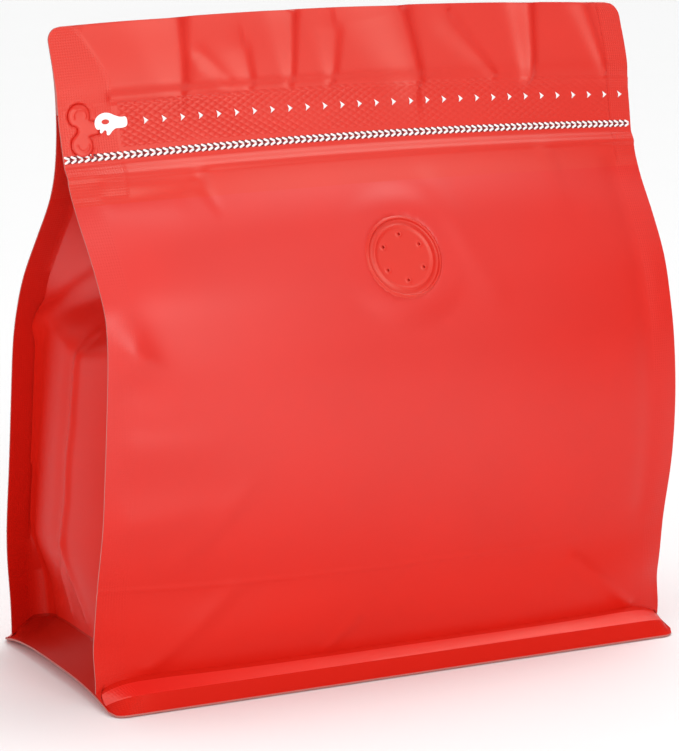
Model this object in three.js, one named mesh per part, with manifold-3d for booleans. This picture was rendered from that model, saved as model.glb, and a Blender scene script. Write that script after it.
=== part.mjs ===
// Flat-bottom coffee bag of welded film, filled and shut, with a one-way valve behind its front
// panel and a die-cut pull tab beside the pocket zipper.
// Millimetres. +Z is up and the front panel faces -Y. The origin is on the floor, under the
// middle of the base.

import * as THREE from 'three';
import { mergeVertices } from 'three/addons/utils/BufferGeometryUtils.js';
import Module from 'manifold-3d';

const wasm = await Module();
wasm.setup();

// ---------------------------------------------------------------- driving dimensions

// Outer size of the film
const bagWidth = 200;
const baseDepth = 96;
const edgeHeight = 204; // at the top corners
const crownRise = 2.4; // the middle of the top stands this much higher
const crownReach = [70, 175]; // it sets in between these heights
const topCornerRadius = 4.5;
const baseCornerRadius = 5;

// The four upright corner seals, and the film of the side gussets between them
const sealWidth = 9;
const sealFade = 8; // the zipper's tracks fade out over this much of a seal
const sealThickness = 0.85;
const gussetFilm = 40.4; // from a seal to the gusset's centre crease

// The welded skirt round the base
const skirtHeight = 6.5;
const skirtLean = 0.6; // the skirt's upper bend stands this far inside its lower edge
const footHeight = 9.8; // where the panels leave the skirt's ledge
const cornerFoot = 5.5; // where the seals leave it, at the corners
const cornerSharpness = 16; // power of the drop from one to the other
const sideFoot = { front: 16, middle: 13.2, back: 8 }; // where the sides leave it
const footReach = 44; // the foot's own heights have faded out here
const sideBend = 0.55; // the sides slope past a bend at this share of the way up
const sideArch = 4.6; // the side edges of the base lift off the floor between the corners
const archPower = 3;
const sideEdgeShare = { seal: 0.94, film: 0.84 }; // of the base's depth that the short edges take
const baseInsets = [12, 30]; // rings of the underside, inside its edge

// Lines across the front panel, by height
const foldHeight = 37; // the panel turns under here, above the base
const bandTop = 180; // the pocket zipper's band
const bandBottom = 159.5;
const bandRise = 0.3;
const bandLip = 0.5;
const zipRidges = [160.5, 161.9]; // the zipper's two tracks show through the film
const zipRidgeRise = 0.25;
const zipRidgeSpread = 0.45;
const zipStep = 1.3; // the film steps back above the tracks
const zipStepReach = [159.8, 163.2];
const zipStepFade = [186, 176];

// Half of the depth between the front and back seals: [height, half depth]
const halfGapStations = [
  [5, 34.6], [12, 34.8], [30, 37.9], [60, 39.8], [100, 39.4], [120, 35.2],
  [140, 20.8], [150, 11.3], [160, 5.4], [170, 2.9], [178, 1.5], [206, 1.2],
];
// Middle of that depth. The filled bag leans forward and its flat top leans back: [height, y]
const leanStations = [
  [0, 3.2], [10, 3.1], [30, 2.7], [60, -2.8], [100, -8], [140, -13.7],
  [160, -13.1], [170, -12.4], [180, -11], [206, -1.2],
];
// How far the middle of a panel stands out past its edges: [height, rise]
const bellyStations = [
  [0, 11], [footHeight, 11.4], [14, 12.05], [20, 12.1], [26, 11.85], [foldHeight, 11.35], [44, 11.15],
  [60, 9.75], [80, 8.6], [100, 6.9], [110, 5.7], [120, 4.25], [126, 4], [133, 4.9], [140, 6.6],
  [147, 8], [151, 7.7], [155, 6.1], [159, 4], [163, 2.7], [168, 2.1], [175, 1.6], [190, 1.35],
  [206, 1.3],
];
const bellyFlatness = 2.5; // power of the panel's curve from edge to edge
const footFlatness = 7.5; // the panel's foot follows the straight skirt
const footFlatnessReach = [36, 12];
const backBellyReach = [180, 100]; // the back's belly sets in between these heights
// How far the middle of a side stands out past the seals' inner edges: [height, rise]
const sideBulgeStations = [
  [6, 0.3], [14, 1.5], [24, 3.4], [40, 5.4], [70, 4.8], [100, 3.2], [125, 2.5], [206, 2],
];
const sideFlatness = 2.4;
const creaseRise = 0.9; // the gusset's centre crease stands up
const creaseSpread = 1.5;
const creaseReach = [26, 44];
const rootDip = 0.9; // the film dips beside each seal
const rootDipPlace = 0.86;
const rootDipSpread = 0.07;
const footPull = 5; // the side is drawn in towards its back lower corner
const footPullHeights = [42, 19];
const footPullAcross = [-0.7, 0.9];
const footPullEdge = [1, 0.955];

// The right front seal is set back about the shoulder
const shoulderSkew = 9.8;
const shoulderHeight = 126;
const shoulderSpread = 24;
const footSkew = -2;
const footSkewHeight = 18;
const footSkewSpread = 16;

// The sides fold inward above the shoulder
const foldStart = [106, 101]; // height at the crease, left and right
const foldRise = 8; // the soft ridge climbs this much from the crease to the seals
const foldSlope = 1.3;
const foldSoftness = 4;
const foldLimitSoftness = 4;
const foldFree = 60; // no fold below this height
const notchTop = 173; // the folded side is pressed shut above this
const tipTop = 177;

// Soft folds of the front: both ends as [x, height], half width and rise at both ends, and the
// right flank's width as a share of the left one's
const frontFolds = [
  { from: [-59.5, 183], to: [-58.5, 206], width: [3, 7], rise: [0.5, 1.3], share: 0.2 },
  { from: [21.5, 181], to: [18, 202], width: [4, 9], rise: [0.9, 1.8], share: 0.13 },
  { from: [62.4, 181], to: [65.3, 206], width: [1.3, 3.2], rise: [0.8, 1.8], share: 0.3 },
  { from: [-97, 121], to: [-92, 109], width: [5, 3.8], rise: [0.9, 1.5], share: 1 },
  { from: [-91, 82], to: [-70, 81], width: [3.3, 3.5], rise: [0.8, 0.3], share: 1 },
  { from: [-92, 58], to: [-64, 61], width: [3.4, 4], rise: [1, 0.4], share: 1 },
  { from: [89, 150], to: [89, 45], width: [3.2, 3], rise: [-0.8, -0.5], share: 1 },
];
// The same of the sides, where the first number of an end runs from -1 at the front to 1 at the back
const sideFolds = [
  { from: [0.98, 107], to: [0.5, 126], width: [3, 3.6], rise: [1.8, 2.6], share: 1 },
  { from: [0.02, 40], to: [0.42, 20], width: [1.4, 1.6], rise: [-0.9, -0.8], share: 1 },
];

// Valve
const valveX = 1.5;
const valveHeight = 132.4;
const valveRadius = 12.5;
const valveDepth = 2.2;
const valveSlope = THREE.MathUtils.degToRad(24.5); // the panel leans back here
const valveTurn = THREE.MathUtils.degToRad(5); // and turns a little to the right
const valveFlatReach = [13.8, 30]; // the film is flat inside the first radius, free past the second
const pinholeCircle = 7.4;
const pinholeRadius = 0.55;
const pinholeDepth = 1;
const pinholeCount = 6;

// Pull tab
const tabX = -93.4;
const tabHeight = 173.3;
const tabThickness = 0.62;
const tabProud = 0.4;
const tabLobeSpan = 4.25; // from the middle to each lobe's centre
const tabUpperRadius = 3.5;
const tabLowerRadius = 3.4;
const tabWaist = 0.75;
const tabArmReach = 5.8;
const tabArmTop = 2.2;
const tabArmBottom = -1.5;
const tabUpperArc = [228, -22]; // degrees
const tabLowerArc = [40, -222];
const tabSeatReach = { left: 4, right: 5, up: 6 }; // the film under the tab is measured this far out

const gap = 0.3; // between neighbouring pieces
const shortestEdge = 0.03; // smaller steps left by a cut are smoothed away

// Mesh density
const frontColumns = 38; // between the seals
const backColumns = 12;
const sealColumns = 2;
const valveSegments = 44;
const recessSegments = 46;
const pinholeSides = 10;
const sideColumns = [-1, -0.93, -0.86, -0.7, -0.5, -0.3, -0.12, -0.05, 0, 0.05, 0.12, 0.3, 0.5, 0.7, 0.86, 0.955, 1];

// ---------------------------------------------------------------- profiles

const halfWidth = bagWidth / 2;
const halfDepth = baseDepth / 2;

// Smooth curve through a list of [height, value] that never overshoots them
function follow(stations, z) {
  const last = stations.length - 1;
  if (z <= stations[0][0]) return stations[0][1];
  if (z >= stations[last][0]) return stations[last][1];
  let k = 0;
  while (stations[k + 1][0] < z) k += 1;
  const slope = (a) => (stations[a + 1][1] - stations[a][1]) / (stations[a + 1][0] - stations[a][0]);
  const tangent = (a, b) => (a * b <= 0 ? 0 : (2 * a * b) / (a + b));
  const here = slope(k);
  const start = tangent(k > 0 ? slope(k - 1) : here, here);
  const end = tangent(here, k + 1 < last ? slope(k + 1) : here);
  const span = stations[k + 1][0] - stations[k][0];
  const t = (z - stations[k][0]) / span;
  return (2 * t ** 3 - 3 * t ** 2 + 1) * stations[k][1] + (t ** 3 - 2 * t ** 2 + t) * span * start
    + (3 * t ** 2 - 2 * t ** 3) * stations[k + 1][1] + (t ** 3 - t ** 2) * span * end;
}

// 0 below a, 1 above b, smooth between; b may be below a
function ramp(a, b, v) {
  const t = Math.min(1, Math.max(0, (v - a) / (b - a)));
  return t * t * (3 - 2 * t);
}

function bump(v, centre, spread) {
  return Math.exp(-0.5 * ((v - centre) / spread) ** 2);
}

// The larger of a and b, rounded off where they meet
function softMax(a, b, roundness) {
  const h = Math.max(roundness - Math.abs(a - b), 0) / roundness;
  return Math.max(a, b) + (h * h * roundness) / 4;
}

function skew(z) {
  return shoulderSkew * bump(z, shoulderHeight, shoulderSpread)
    + footSkew * bump(z, footSkewHeight, footSkewSpread);
}

// The rounded top corners narrow the film near its upper edge
function widthAt(z) {
  const over = Math.min(topCornerRadius, Math.max(0, z - edgeHeight + topCornerRadius));
  return halfWidth - topCornerRadius + Math.sqrt(topCornerRadius ** 2 - over ** 2);
}

function crown(s, z) {
  return crownRise * (1 - s * s) * ramp(...crownReach, z);
}

// A frame on the film at the valve: origin, right, up the slope, and straight out
const valveSeat = (() => {
  const right = new THREE.Vector3(Math.cos(valveTurn), Math.sin(valveTurn), 0);
  const up = new THREE.Vector3(
    -Math.sin(valveSlope) * Math.sin(valveTurn),
    Math.sin(valveSlope) * Math.cos(valveTurn),
    Math.cos(valveSlope),
  );
  const out = new THREE.Vector3().crossVectors(right, up);
  const z = valveHeight - crown(0, valveHeight);
  const y = follow(leanStations, z) - follow(halfGapStations, z) + skew(z) / 2 - follow(bellyStations, z);
  return { origin: new THREE.Vector3(valveX, y, valveHeight), right, up, out };
})();

// The film lies flat against the valve and comes free of it further out
function flattenAtValve(x, y, z) {
  const { origin, out } = valveSeat;
  const away = Math.hypot(x - origin.x, (z - origin.z) / Math.cos(valveSlope));
  const flatY = origin.y - (out.x * (x - origin.x) + out.z * (z - origin.z)) / out.y;
  return THREE.MathUtils.lerp(flatY, y, ramp(...valveFlatReach, away));
}

// Ridges and valleys along straight lines; across is the length of one unit of u
function softFolds(folds, u, z, across) {
  const { lerp, clamp } = THREE.MathUtils;
  let rise = 0;
  for (const fold of folds) {
    const du = (fold.to[0] - fold.from[0]) * across;
    const dz = fold.to[1] - fold.from[1];
    const sideways = (u - fold.from[0]) * across;
    const up = z - fold.from[1];
    const t = clamp((sideways * du + up * dz) / (du * du + dz * dz), 0, 1);
    const off = sideways - t * du;
    const width = lerp(...fold.width, t) * (off > 0 ? fold.share : 1);
    rise += lerp(...fold.rise, t) * bump(Math.hypot(off, up - t * dz), 0, width);
  }
  return rise;
}

// Relief of the front panel, measured outward: the band, the zipper's tracks and step, and the folds
function frontRelief(x, z) {
  const inSeal = ramp(halfWidth - sealWidth, halfWidth - sealWidth + sealFade, Math.abs(x));
  let rise = bandRise * ramp(bandBottom - bandLip, bandBottom + bandLip, z) * ramp(bandTop + bandLip, bandTop - bandLip, z);
  for (const height of zipRidges) rise += zipRidgeRise * bump(z, height, zipRidgeSpread) * (1 - inSeal);
  rise -= zipStep * ramp(...zipStepReach, z) * ramp(...zipStepFade, z);
  return rise + softFolds(frontFolds, x, z, 1);
}

function frontEdgeY(s, z) {
  return follow(leanStations, z) - follow(halfGapStations, z) + (skew(z) * (s + 1)) / 2;
}

function backEdgeY(z) {
  return follow(leanStations, z) + follow(halfGapStations, z);
}

function belly(s, z) {
  const power = THREE.MathUtils.lerp(bellyFlatness, footFlatness, ramp(...footFlatnessReach, z));
  return follow(bellyStations, z) * (1 - Math.abs(s) ** power);
}

function backY(s, z) {
  return backEdgeY(z) + belly(s, z) * ramp(...backBellyReach, z);
}

// A point of the front panel: s runs from -1 at the left edge to 1 at the right edge
function frontPoint(s, z) {
  const x = s * widthAt(z);
  const height = z + crown(s, z);
  const free = frontEdgeY(s, z) - belly(s, z) - frontRelief(x, z);
  return [x, flattenAtValve(x, free, height), height];
}

function backPoint(s, z) {
  return [s * widthAt(z), backY(s, z), z + crown(s, z)];
}

// How far a side stands out past its seals' inner edges: t runs from -1 at the front to 1 at the back
function sideRise(t, z, side) {
  const a = Math.abs(t);
  const pulled = ramp(...footPullHeights, z) * ramp(...footPullAcross, t) * ramp(...footPullEdge, t);
  const full = follow(sideBulgeStations, z) * (1 - a ** sideFlatness)
    + creaseRise * bump(t * gussetFilm, 0, creaseSpread) * ramp(...creaseReach, z)
    - rootDip * bump(a, rootDipPlace, rootDipSpread) - footPull * pulled;
  const ridge = foldStart[side < 0 ? 0 : 1] + foldRise * a;
  const fallen = full - foldSlope * softMax(z - ridge, 0, foldSoftness);
  const gapHere = follow(halfGapStations, z) - (side > 0 ? skew(z) / 2 : 0);
  const inward = Math.sqrt(gussetFilm ** 2 - gapHere ** 2) * (1 - a);
  const folded = z < foldFree ? full : softMax(fallen, -inward, foldLimitSoftness);
  return folded + softFolds(sideFolds, t, z, gussetFilm);
}

// Inner edge of a seal, on the gusset's side of the film
function sealRoot(side, front, z) {
  const x = widthAt(z) - sealWidth;
  const s = (side * x) / widthAt(z);
  const [, y, height] = front ? frontPoint(s, z) : backPoint(s, z);
  return [side * x, front ? y + sealThickness : y - sealThickness, height];
}

function sidePoint(t, z, side) {
  const front = sealRoot(side, true, z);
  const back = sealRoot(side, false, z);
  const mix = (t + 1) / 2;
  return [
    front[0] + side * sideRise(t, z, side),
    THREE.MathUtils.lerp(front[1], back[1], mix),
    THREE.MathUtils.lerp(front[2], back[2], mix),
  ];
}

// ---------------------------------------------------------------- rings of the bag

// One ring is a list of stations that every height repeats, going round from the left front seal
function ringStations() {
  const stations = [];
  const innerS = (halfWidth - sealWidth) / halfWidth;
  const panel = (columns) => {
    const list = [];
    for (let i = 0; i < sealColumns; i += 1) list.push(-1 + ((1 - innerS) * i) / sealColumns);
    for (let i = 0; i <= columns; i += 1) list.push(innerS * ((2 * i) / columns - 1));
    for (let i = 1; i <= sealColumns; i += 1) list.push(innerS + ((1 - innerS) * i) / sealColumns);
    return list;
  };
  const side = (sign) => {
    const list = [{ kind: 'tip', front: true, side: sign }];
    for (const t of sideColumns) list.push({ kind: 'side', t, side: sign });
    list.push({ kind: 'tip', front: false, side: sign });
    return sign > 0 ? list : list.reverse();
  };
  for (const s of panel(frontColumns)) stations.push({ kind: 'front', s });
  stations.push(...side(1));
  for (const s of panel(backColumns).reverse()) stations.push({ kind: 'back', s });
  stations.push(...side(-1));
  return stations;
}

// Where the panels leave the skirt, round the ring
function footAt(station) {
  if (station.kind === 'tip') return cornerFoot;
  if (station.kind === 'side') {
    const { front, middle, back } = sideFoot;
    return middle + ((back - front) / 2) * station.t + ((back + front) / 2 - middle) * station.t ** 2;
  }
  return cornerFoot + (footHeight - cornerFoot) * (1 - Math.abs(station.s) ** cornerSharpness);
}

function wallPoint(station, level) {
  const z = level + (footAt(station) - footHeight) * ramp(footReach, footHeight, level);
  if (station.kind === 'front') return frontPoint(station.s, z);
  if (station.kind === 'back') return backPoint(station.s, z);
  if (station.kind === 'side') return sidePoint(station.t, z, station.side);
  const [x, y, height] = station.front ? frontPoint(station.side, z) : backPoint(station.side, z);
  return [x, y + (station.front ? sealThickness : -sealThickness), height];
}

// Outer edge of the base: a rounded rectangle whose short sides arch up off the floor
function edgePoint(station) {
  const round = (reach, v) => {
    const along = v * (reach - baseCornerRadius * (1 - Math.SQRT1_2));
    const inset = Math.max(0, Math.abs(along) - (reach - baseCornerRadius));
    return [along, baseCornerRadius - Math.sqrt(baseCornerRadius ** 2 - inset ** 2)];
  };
  if (station.kind === 'front' || station.kind === 'back') {
    const [x, pulledIn] = round(halfWidth, station.s);
    const y = halfDepth - pulledIn;
    return [x, station.kind === 'front' ? -y : y, 0];
  }
  const { seal, film: between } = sideEdgeShare;
  const v = station.kind === 'tip' ? (station.front ? -seal : seal) : station.t * between;
  const [y, pulledIn] = round(halfDepth, v);
  return [station.side * (halfWidth - pulledIn), y, sideArch * (1 - Math.abs(v) ** archPower)];
}

// The skirt's upper bend, between its edge and the foot of the panels
function bendPoint(station) {
  const edge = edgePoint(station);
  const foot = wallPoint(station, footHeight);
  const between = (k) => edge.map((v, i) => THREE.MathUtils.lerp(v, foot[i], k));
  if (station.kind === 'side' || station.kind === 'tip') return between(sideBend);
  const corner = Math.abs(station.s) ** cornerSharpness;
  const inward = station.kind === 'front' ? skirtLean : -skirtLean;
  const straight = [edge[0], edge[1] + inward, skirtHeight];
  const halfway = between(0.5);
  return straight.map((v, i) => THREE.MathUtils.lerp(v, halfway[i], corner));
}

const levels = [
  footHeight, 11.5, 14, 17, 21, 26, 32, foldHeight, 43, 52, 61, 71, 82, 92, 100, 105, 109, 113, 117, 121, 126, 131,
  136, 141, 145, 149, 153, 156.6, 159.5, 160.6, 161.9, 163.2, 164.6, 168.5, notchTop,
];
const topLevels = [
  tipTop, 180.3, 182, 185, 188.5, 193, 197,
  ...[0, 0.4, 0.75, 1].map((k) => edgeHeight - topCornerRadius * (1 - k)),
];

// ---------------------------------------------------------------- the bag's closed mesh

function buildBag() {
  const points = [];
  const faces = [];
  const addPoint = (p) => points.push(p) - 1;
  const triangle = (a, b, c) => faces.push(a, b, c);
  const quad = (a, b, c, d) => {
    triangle(a, b, c);
    triangle(a, c, d);
  };
  const stations = ringStations();
  const count = stations.length;
  const ring = (place) => stations.map((station) => addPoint(place(station)));
  const mixed = (a, b, k) => (station) => {
    const [p, q] = [a(station), b(station)];
    return p.map((v, i) => THREE.MathUtils.lerp(v, q[i], k));
  };
  const foot = (station) => wallPoint(station, footHeight);

  // Skirt and walls, up to where the folded sides close
  const rings = [ring(edgePoint), ring(mixed(edgePoint, bendPoint, 0.5)), ring(bendPoint), ring(mixed(bendPoint, foot, 0.5))];
  for (const level of levels) rings.push(ring((station) => wallPoint(station, level)));
  for (let k = 1; k < rings.length; k += 1) {
    for (let i = 0; i < count; i += 1) {
      const j = (i + 1) % count;
      quad(rings[k - 1][i], rings[k - 1][j], rings[k][j], rings[k][i]);
    }
  }

  // Base: the ring steps in to the flat underside, then closes on the middle
  const under = (station, shrink) => {
    const [x, y] = edgePoint(station);
    return [Math.sign(x) * Math.max(0, Math.abs(x) - shrink), Math.sign(y) * Math.max(0, Math.abs(y) - shrink), 0];
  };
  const [inner, core] = baseInsets.map((shrink) => ring((station) => under(station, shrink)));
  const middle = addPoint([0, 0, 0]);
  for (let i = 0; i < count; i += 1) {
    const j = (i + 1) % count;
    quad(inner[i], inner[j], rings[0][j], rings[0][i]);
    quad(core[i], core[j], inner[j], inner[i]);
    triangle(middle, core[j], core[i]);
  }

  // Flat top: one row of the front and one of the back, joined at their ends
  const last = rings[rings.length - 1];
  const frontIndex = stations.flatMap((station, i) => (station.kind === 'front' ? [i] : []));
  const backIndex = stations.flatMap((station, i) => (station.kind === 'back' ? [i] : []));
  let front = frontIndex.map((i) => last[i]);
  let back = backIndex.map((i) => last[i]);
  topLevels.forEach((level, row) => {
    const nextFront = frontIndex.map((i) => addPoint(frontPoint(stations[i].s, level)));
    const nextBack = backIndex.map((i) => addPoint(backPoint(stations[i].s, level)));
    for (const [lower, upper] of [[front, nextFront], [back, nextBack]]) {
      for (let i = 1; i < lower.length; i += 1) quad(lower[i - 1], lower[i], upper[i], upper[i - 1]);
    }
    const ends = [
      [front.at(-1), back[0], nextFront.at(-1), nextBack[0], frontIndex.at(-1) + 1, backIndex[0]],
      [back.at(-1), front[0], nextBack.at(-1), nextFront[0], backIndex.at(-1) + 1, count],
    ];
    for (const [from, to, upFrom, upTo, start, stop] of ends) {
      if (row > 0) {
        quad(from, to, upTo, upFrom);
        continue;
      }
      // The folded side closes: its ring fans to the two upper ends
      const fold = [from, ...last.slice(start, stop), to];
      const half = Math.floor(fold.length / 2);
      for (let i = 1; i < fold.length; i += 1) triangle(fold[i - 1], fold[i], i <= half ? upFrom : upTo);
      triangle(fold[half], upTo, upFrom);
    }
    front = nextFront;
    back = nextBack;
  });

  // Upper edge: the finer front row is zipped to the coarser back row
  const far = [...back].reverse();
  let [i, j] = [0, 0];
  while (i < front.length - 1 || j < far.length - 1) {
    const frontNext = i < front.length - 1 ? points[front[i + 1]][0] : Infinity;
    const farNext = j < far.length - 1 ? points[far[j + 1]][0] : Infinity;
    if (frontNext <= farNext) {
      triangle(front[i], front[i + 1], far[j]);
      i += 1;
    } else {
      triangle(front[i], far[j + 1], far[j]);
      j += 1;
    }
  }

  const geometry = new THREE.BufferGeometry();
  geometry.setAttribute('position', new THREE.Float32BufferAttribute(points.flat(), 3));
  geometry.setIndex(faces);
  return geometry;
}

// ---------------------------------------------------------------- valve and pull tab

// Turns a piece drawn with +Y up the slope and +Z straight out onto its seat
function seatPiece(object, seat) {
  object.position.copy(seat.origin);
  object.quaternion.setFromRotationMatrix(new THREE.Matrix4().makeBasis(seat.right, seat.up, seat.out));
  object.updateMatrixWorld();
  return object;
}

// A body turned about +Z from [radius, height] pairs that start and end on the axis
function turned(profile, segments) {
  const geometry = new THREE.LatheGeometry(profile.map(([r, h]) => new THREE.Vector2(r, h)), segments);
  return geometry.rotateX(Math.PI / 2);
}

// Disc with a raised bead at its rim, a groove, an inner lip and a slightly domed middle
function valveProfile() {
  const r = valveRadius;
  return [
    [0, -valveDepth], [r - 0.5, -valveDepth], [r, 0.5 - valveDepth], [r, 0.3], [r - 0.45, 0.8],
    [r - 0.9, 0.6], [r - 1.2, 0], [r - 2.4, -0.05], [r - 3, 0.28], [r - 3.6, 0.1], [0, 0.25],
  ];
}

function tabSeat() {
  const at = (dx, dz) => new THREE.Vector3(...frontPoint((tabX + dx) / halfWidth, tabHeight + dz));
  const origin = at(0, 0);
  const reach = tabSeatReach;
  const up = at(0, reach.up).sub(at(0, -reach.up)).normalize();
  const out = new THREE.Vector3().crossVectors(at(reach.right, 0).sub(at(-reach.left, 0)), up).normalize();
  const right = new THREE.Vector3().crossVectors(up, out);
  return { origin, right, up, out };
}

// Dog-bone outline with an arm to the right; margin widens it for the recess
function tabOutline(margin) {
  const upper = tabUpperRadius + margin;
  const lower = tabLowerRadius + margin;
  const degrees = (angle) => THREE.MathUtils.degToRad(angle);
  const onLobe = (centre, radius, angle) => [
    radius * Math.cos(degrees(angle)),
    centre + radius * Math.sin(degrees(angle)),
  ];
  const shape = new THREE.Shape();
  shape.moveTo(...onLobe(tabLobeSpan, upper, tabUpperArc[0]));
  shape.absarc(0, tabLobeSpan, upper, ...tabUpperArc.map(degrees), true);
  shape.quadraticCurveTo(tabArmReach * 0.66, tabArmTop + margin, tabArmReach + margin, tabArmTop + margin);
  shape.lineTo(tabArmReach + margin, tabArmBottom - margin);
  shape.quadraticCurveTo(tabArmReach * 0.5, tabArmBottom - 0.2 - margin, ...onLobe(-tabLobeSpan, lower, tabLowerArc[0]));
  shape.absarc(0, -tabLobeSpan, lower, ...tabLowerArc.map(degrees), true);
  shape.quadraticCurveTo(-tabWaist - margin, -0.6, -tabWaist - margin, 0.2);
  shape.quadraticCurveTo(-tabWaist - margin, 1.2, ...onLobe(tabLobeSpan, upper, tabUpperArc[0]));
  return shape;
}

function tabPlate(margin, depth) {
  return new THREE.ExtrudeGeometry(tabOutline(margin), { depth, bevelEnabled: false, curveSegments: 7 });
}

// ---------------------------------------------------------------- joins and cuts

function toSolid(mesh) {
  const geometry = mesh.geometry.clone();
  geometry.deleteAttribute('normal');
  geometry.deleteAttribute('uv');
  geometry.applyMatrix4(mesh.matrixWorld);
  const merged = mergeVertices(geometry, 1e-4);
  return new wasm.Manifold(new wasm.Mesh({
    numProp: 3,
    vertProperties: Float32Array.from(merged.attributes.position.array),
    triVerts: Uint32Array.from(merged.index.array),
  }));
}

function toGeometry(solid) {
  const { vertProperties, triVerts } = solid.getMesh();
  const geometry = new THREE.BufferGeometry();
  geometry.setAttribute('position', new THREE.Float32BufferAttribute(vertProperties, 3));
  geometry.setIndex([...triVerts]);
  geometry.computeVertexNormals();
  return geometry;
}

const bodyOf = (geometry) => toSolid(new THREE.Mesh(geometry));
const seatedBody = (geometry, seat) => toSolid(seatPiece(new THREE.Mesh(geometry), seat));

// ---------------------------------------------------------------- materials and the finished group

const film = new THREE.MeshStandardMaterial({ color: 0xe0382f, roughness: 0.42, metalness: 0 });
const valveFilm = new THREE.MeshStandardMaterial({ color: 0xdc352d, roughness: 0.38, metalness: 0 });
const tabFilm = new THREE.MeshStandardMaterial({ color: 0xe5453c, roughness: 0.45, metalness: 0 });

function makeBag(tab) {
  const recessDepth = valveDepth + gap;
  const openAir = 6; // the cutting bodies run out past the film
  const valveRecess = new THREE.CylinderGeometry(valveRadius + gap, valveRadius + gap, recessDepth + openAir, recessSegments);
  valveRecess.rotateX(Math.PI / 2).translate(0, 0, (openAir - recessDepth) / 2);
  const tabRecess = tabPlate(gap, tabThickness - tabProud + gap + openAir);
  tabRecess.translate(0, 0, tabProud - tabThickness - gap);
  const cut = bodyOf(buildBag())
    .subtract(seatedBody(valveRecess, valveSeat))
    .subtract(seatedBody(tabRecess, tab));
  return new THREE.Mesh(toGeometry(cut), film);
}

function makeValve() {
  const pinhole = (angle) => {
    const geometry = new THREE.CylinderGeometry(pinholeRadius, pinholeRadius, 2 * pinholeDepth, pinholeSides);
    geometry.rotateX(Math.PI / 2);
    return geometry.translate(pinholeCircle * Math.sin(angle), pinholeCircle * Math.cos(angle), pinholeDepth - 0.5);
  };
  let disc = bodyOf(turned(valveProfile(), valveSegments));
  for (let i = 0; i < pinholeCount; i += 1) {
    disc = disc.subtract(bodyOf(pinhole((2 * Math.PI * i) / pinholeCount)));
  }
  return seatPiece(new THREE.Mesh(toGeometry(disc.simplify(shortestEdge)), valveFilm), valveSeat);
}

function makePullTab(tab) {
  const plate = tabPlate(0, tabThickness).translate(0, 0, tabProud - tabThickness);
  return seatPiece(new THREE.Mesh(toGeometry(bodyOf(plate)), tabFilm), tab);
}

const tab = tabSeat();
const coffeeBag = new THREE.Group();
const pieces = { bag: makeBag(tab), valve: makeValve(), pull_tab: makePullTab(tab) };
for (const [name, mesh] of Object.entries(pieces)) {
  mesh.name = name;
  coffeeBag.add(mesh);
}

export default coffeeBag;
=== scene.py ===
import math
from functools import partial

import bmesh
import bpy
import numpy as np
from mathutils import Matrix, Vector


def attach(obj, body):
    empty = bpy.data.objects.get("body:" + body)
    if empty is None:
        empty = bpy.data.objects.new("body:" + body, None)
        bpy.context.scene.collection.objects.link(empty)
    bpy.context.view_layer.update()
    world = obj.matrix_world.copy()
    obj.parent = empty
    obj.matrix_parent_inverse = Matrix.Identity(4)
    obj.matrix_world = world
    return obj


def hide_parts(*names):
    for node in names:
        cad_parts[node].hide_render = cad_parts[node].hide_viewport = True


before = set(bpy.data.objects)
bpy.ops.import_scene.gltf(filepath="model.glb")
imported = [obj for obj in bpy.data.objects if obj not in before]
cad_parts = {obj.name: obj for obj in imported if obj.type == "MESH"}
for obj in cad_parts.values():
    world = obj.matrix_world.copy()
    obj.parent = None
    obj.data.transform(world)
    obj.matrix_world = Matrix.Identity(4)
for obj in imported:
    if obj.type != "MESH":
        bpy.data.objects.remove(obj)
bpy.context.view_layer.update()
mm = 0.001
print("frame loaded", len(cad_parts), "nodes")

cameraSet = {
    "lens": 149.9,
    "sensorWidth": 36,
    # in degrees: azimuth 0 is in front, and below 0 is to the left
    "azimuth": -26.6545,
    "elevation": 11.672,
    "distance": 1.00709,
    "aim": (-0.000055, 0.0, 0.087650),
}


def placed(name, data):
    # a new object in the scene
    obj = bpy.data.objects.new(name, data)
    bpy.context.collection.objects.link(obj)
    return obj


def awayFrom(azimuth, elevation):
    # direction from the thing looked at to the camera or lamp
    az, el = math.radians(azimuth), math.radians(elevation)
    return Vector((math.sin(az) * math.cos(el), -math.cos(az) * math.cos(el), math.sin(el)))


def addCamera(v):
    away = awayFrom(v["azimuth"], v["elevation"])
    data = bpy.data.cameras.new("camera")
    data.lens = v["lens"]
    data.sensor_width = v["sensorWidth"]
    obj = placed("camera", data)
    obj.location = Vector(v["aim"]) + away * v["distance"]
    obj.rotation_euler = (-away).to_track_quat("-Z", "Y").to_euler()
    bpy.context.scene.camera = obj


addCamera(cameraSet)
print("camera set")

# heights the film's curves are kept at, in millimetres
heightStep = 0.25
fineHeights = np.arange(0, 208, heightStep)


def softened(stations, spread=4.0):
    # smooth curve through [height, value] pairs, softened over a few millimetres of height
    zs, vs = np.array(stations, float).T
    d = np.diff(vs) / np.diff(zs)
    both = d[:-1] * d[1:]
    inner = np.where(both <= 0, 0.0, 2 * both / np.where(both <= 0, 1.0, d[:-1] + d[1:]))
    m = np.concatenate([d[:1], inner, d[-1:]])
    z = np.clip(fineHeights, zs[0], zs[-1])
    k = np.clip(np.searchsorted(zs, z) - 1, 0, len(d) - 1)
    h = zs[k + 1] - zs[k]
    t = (z - zs[k]) / h
    v = (2 * t**3 - 3 * t**2 + 1) * vs[k] + (t**3 - 2 * t**2 + t) * h * m[k]
    v += (3 * t**2 - 2 * t**3) * vs[k + 1] + (t**3 - t**2) * h * m[k + 1]
    reach = int(4 * spread / heightStep)
    padded = np.concatenate([2 * v[0] - v[reach:0:-1], v, 2 * v[-1] - v[-2:-reach - 2:-1]])
    weights = np.exp(-0.5 * (np.arange(-reach, reach + 1) * heightStep / spread) ** 2)
    return np.convolve(padded, weights / weights.sum(), "valid")


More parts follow.
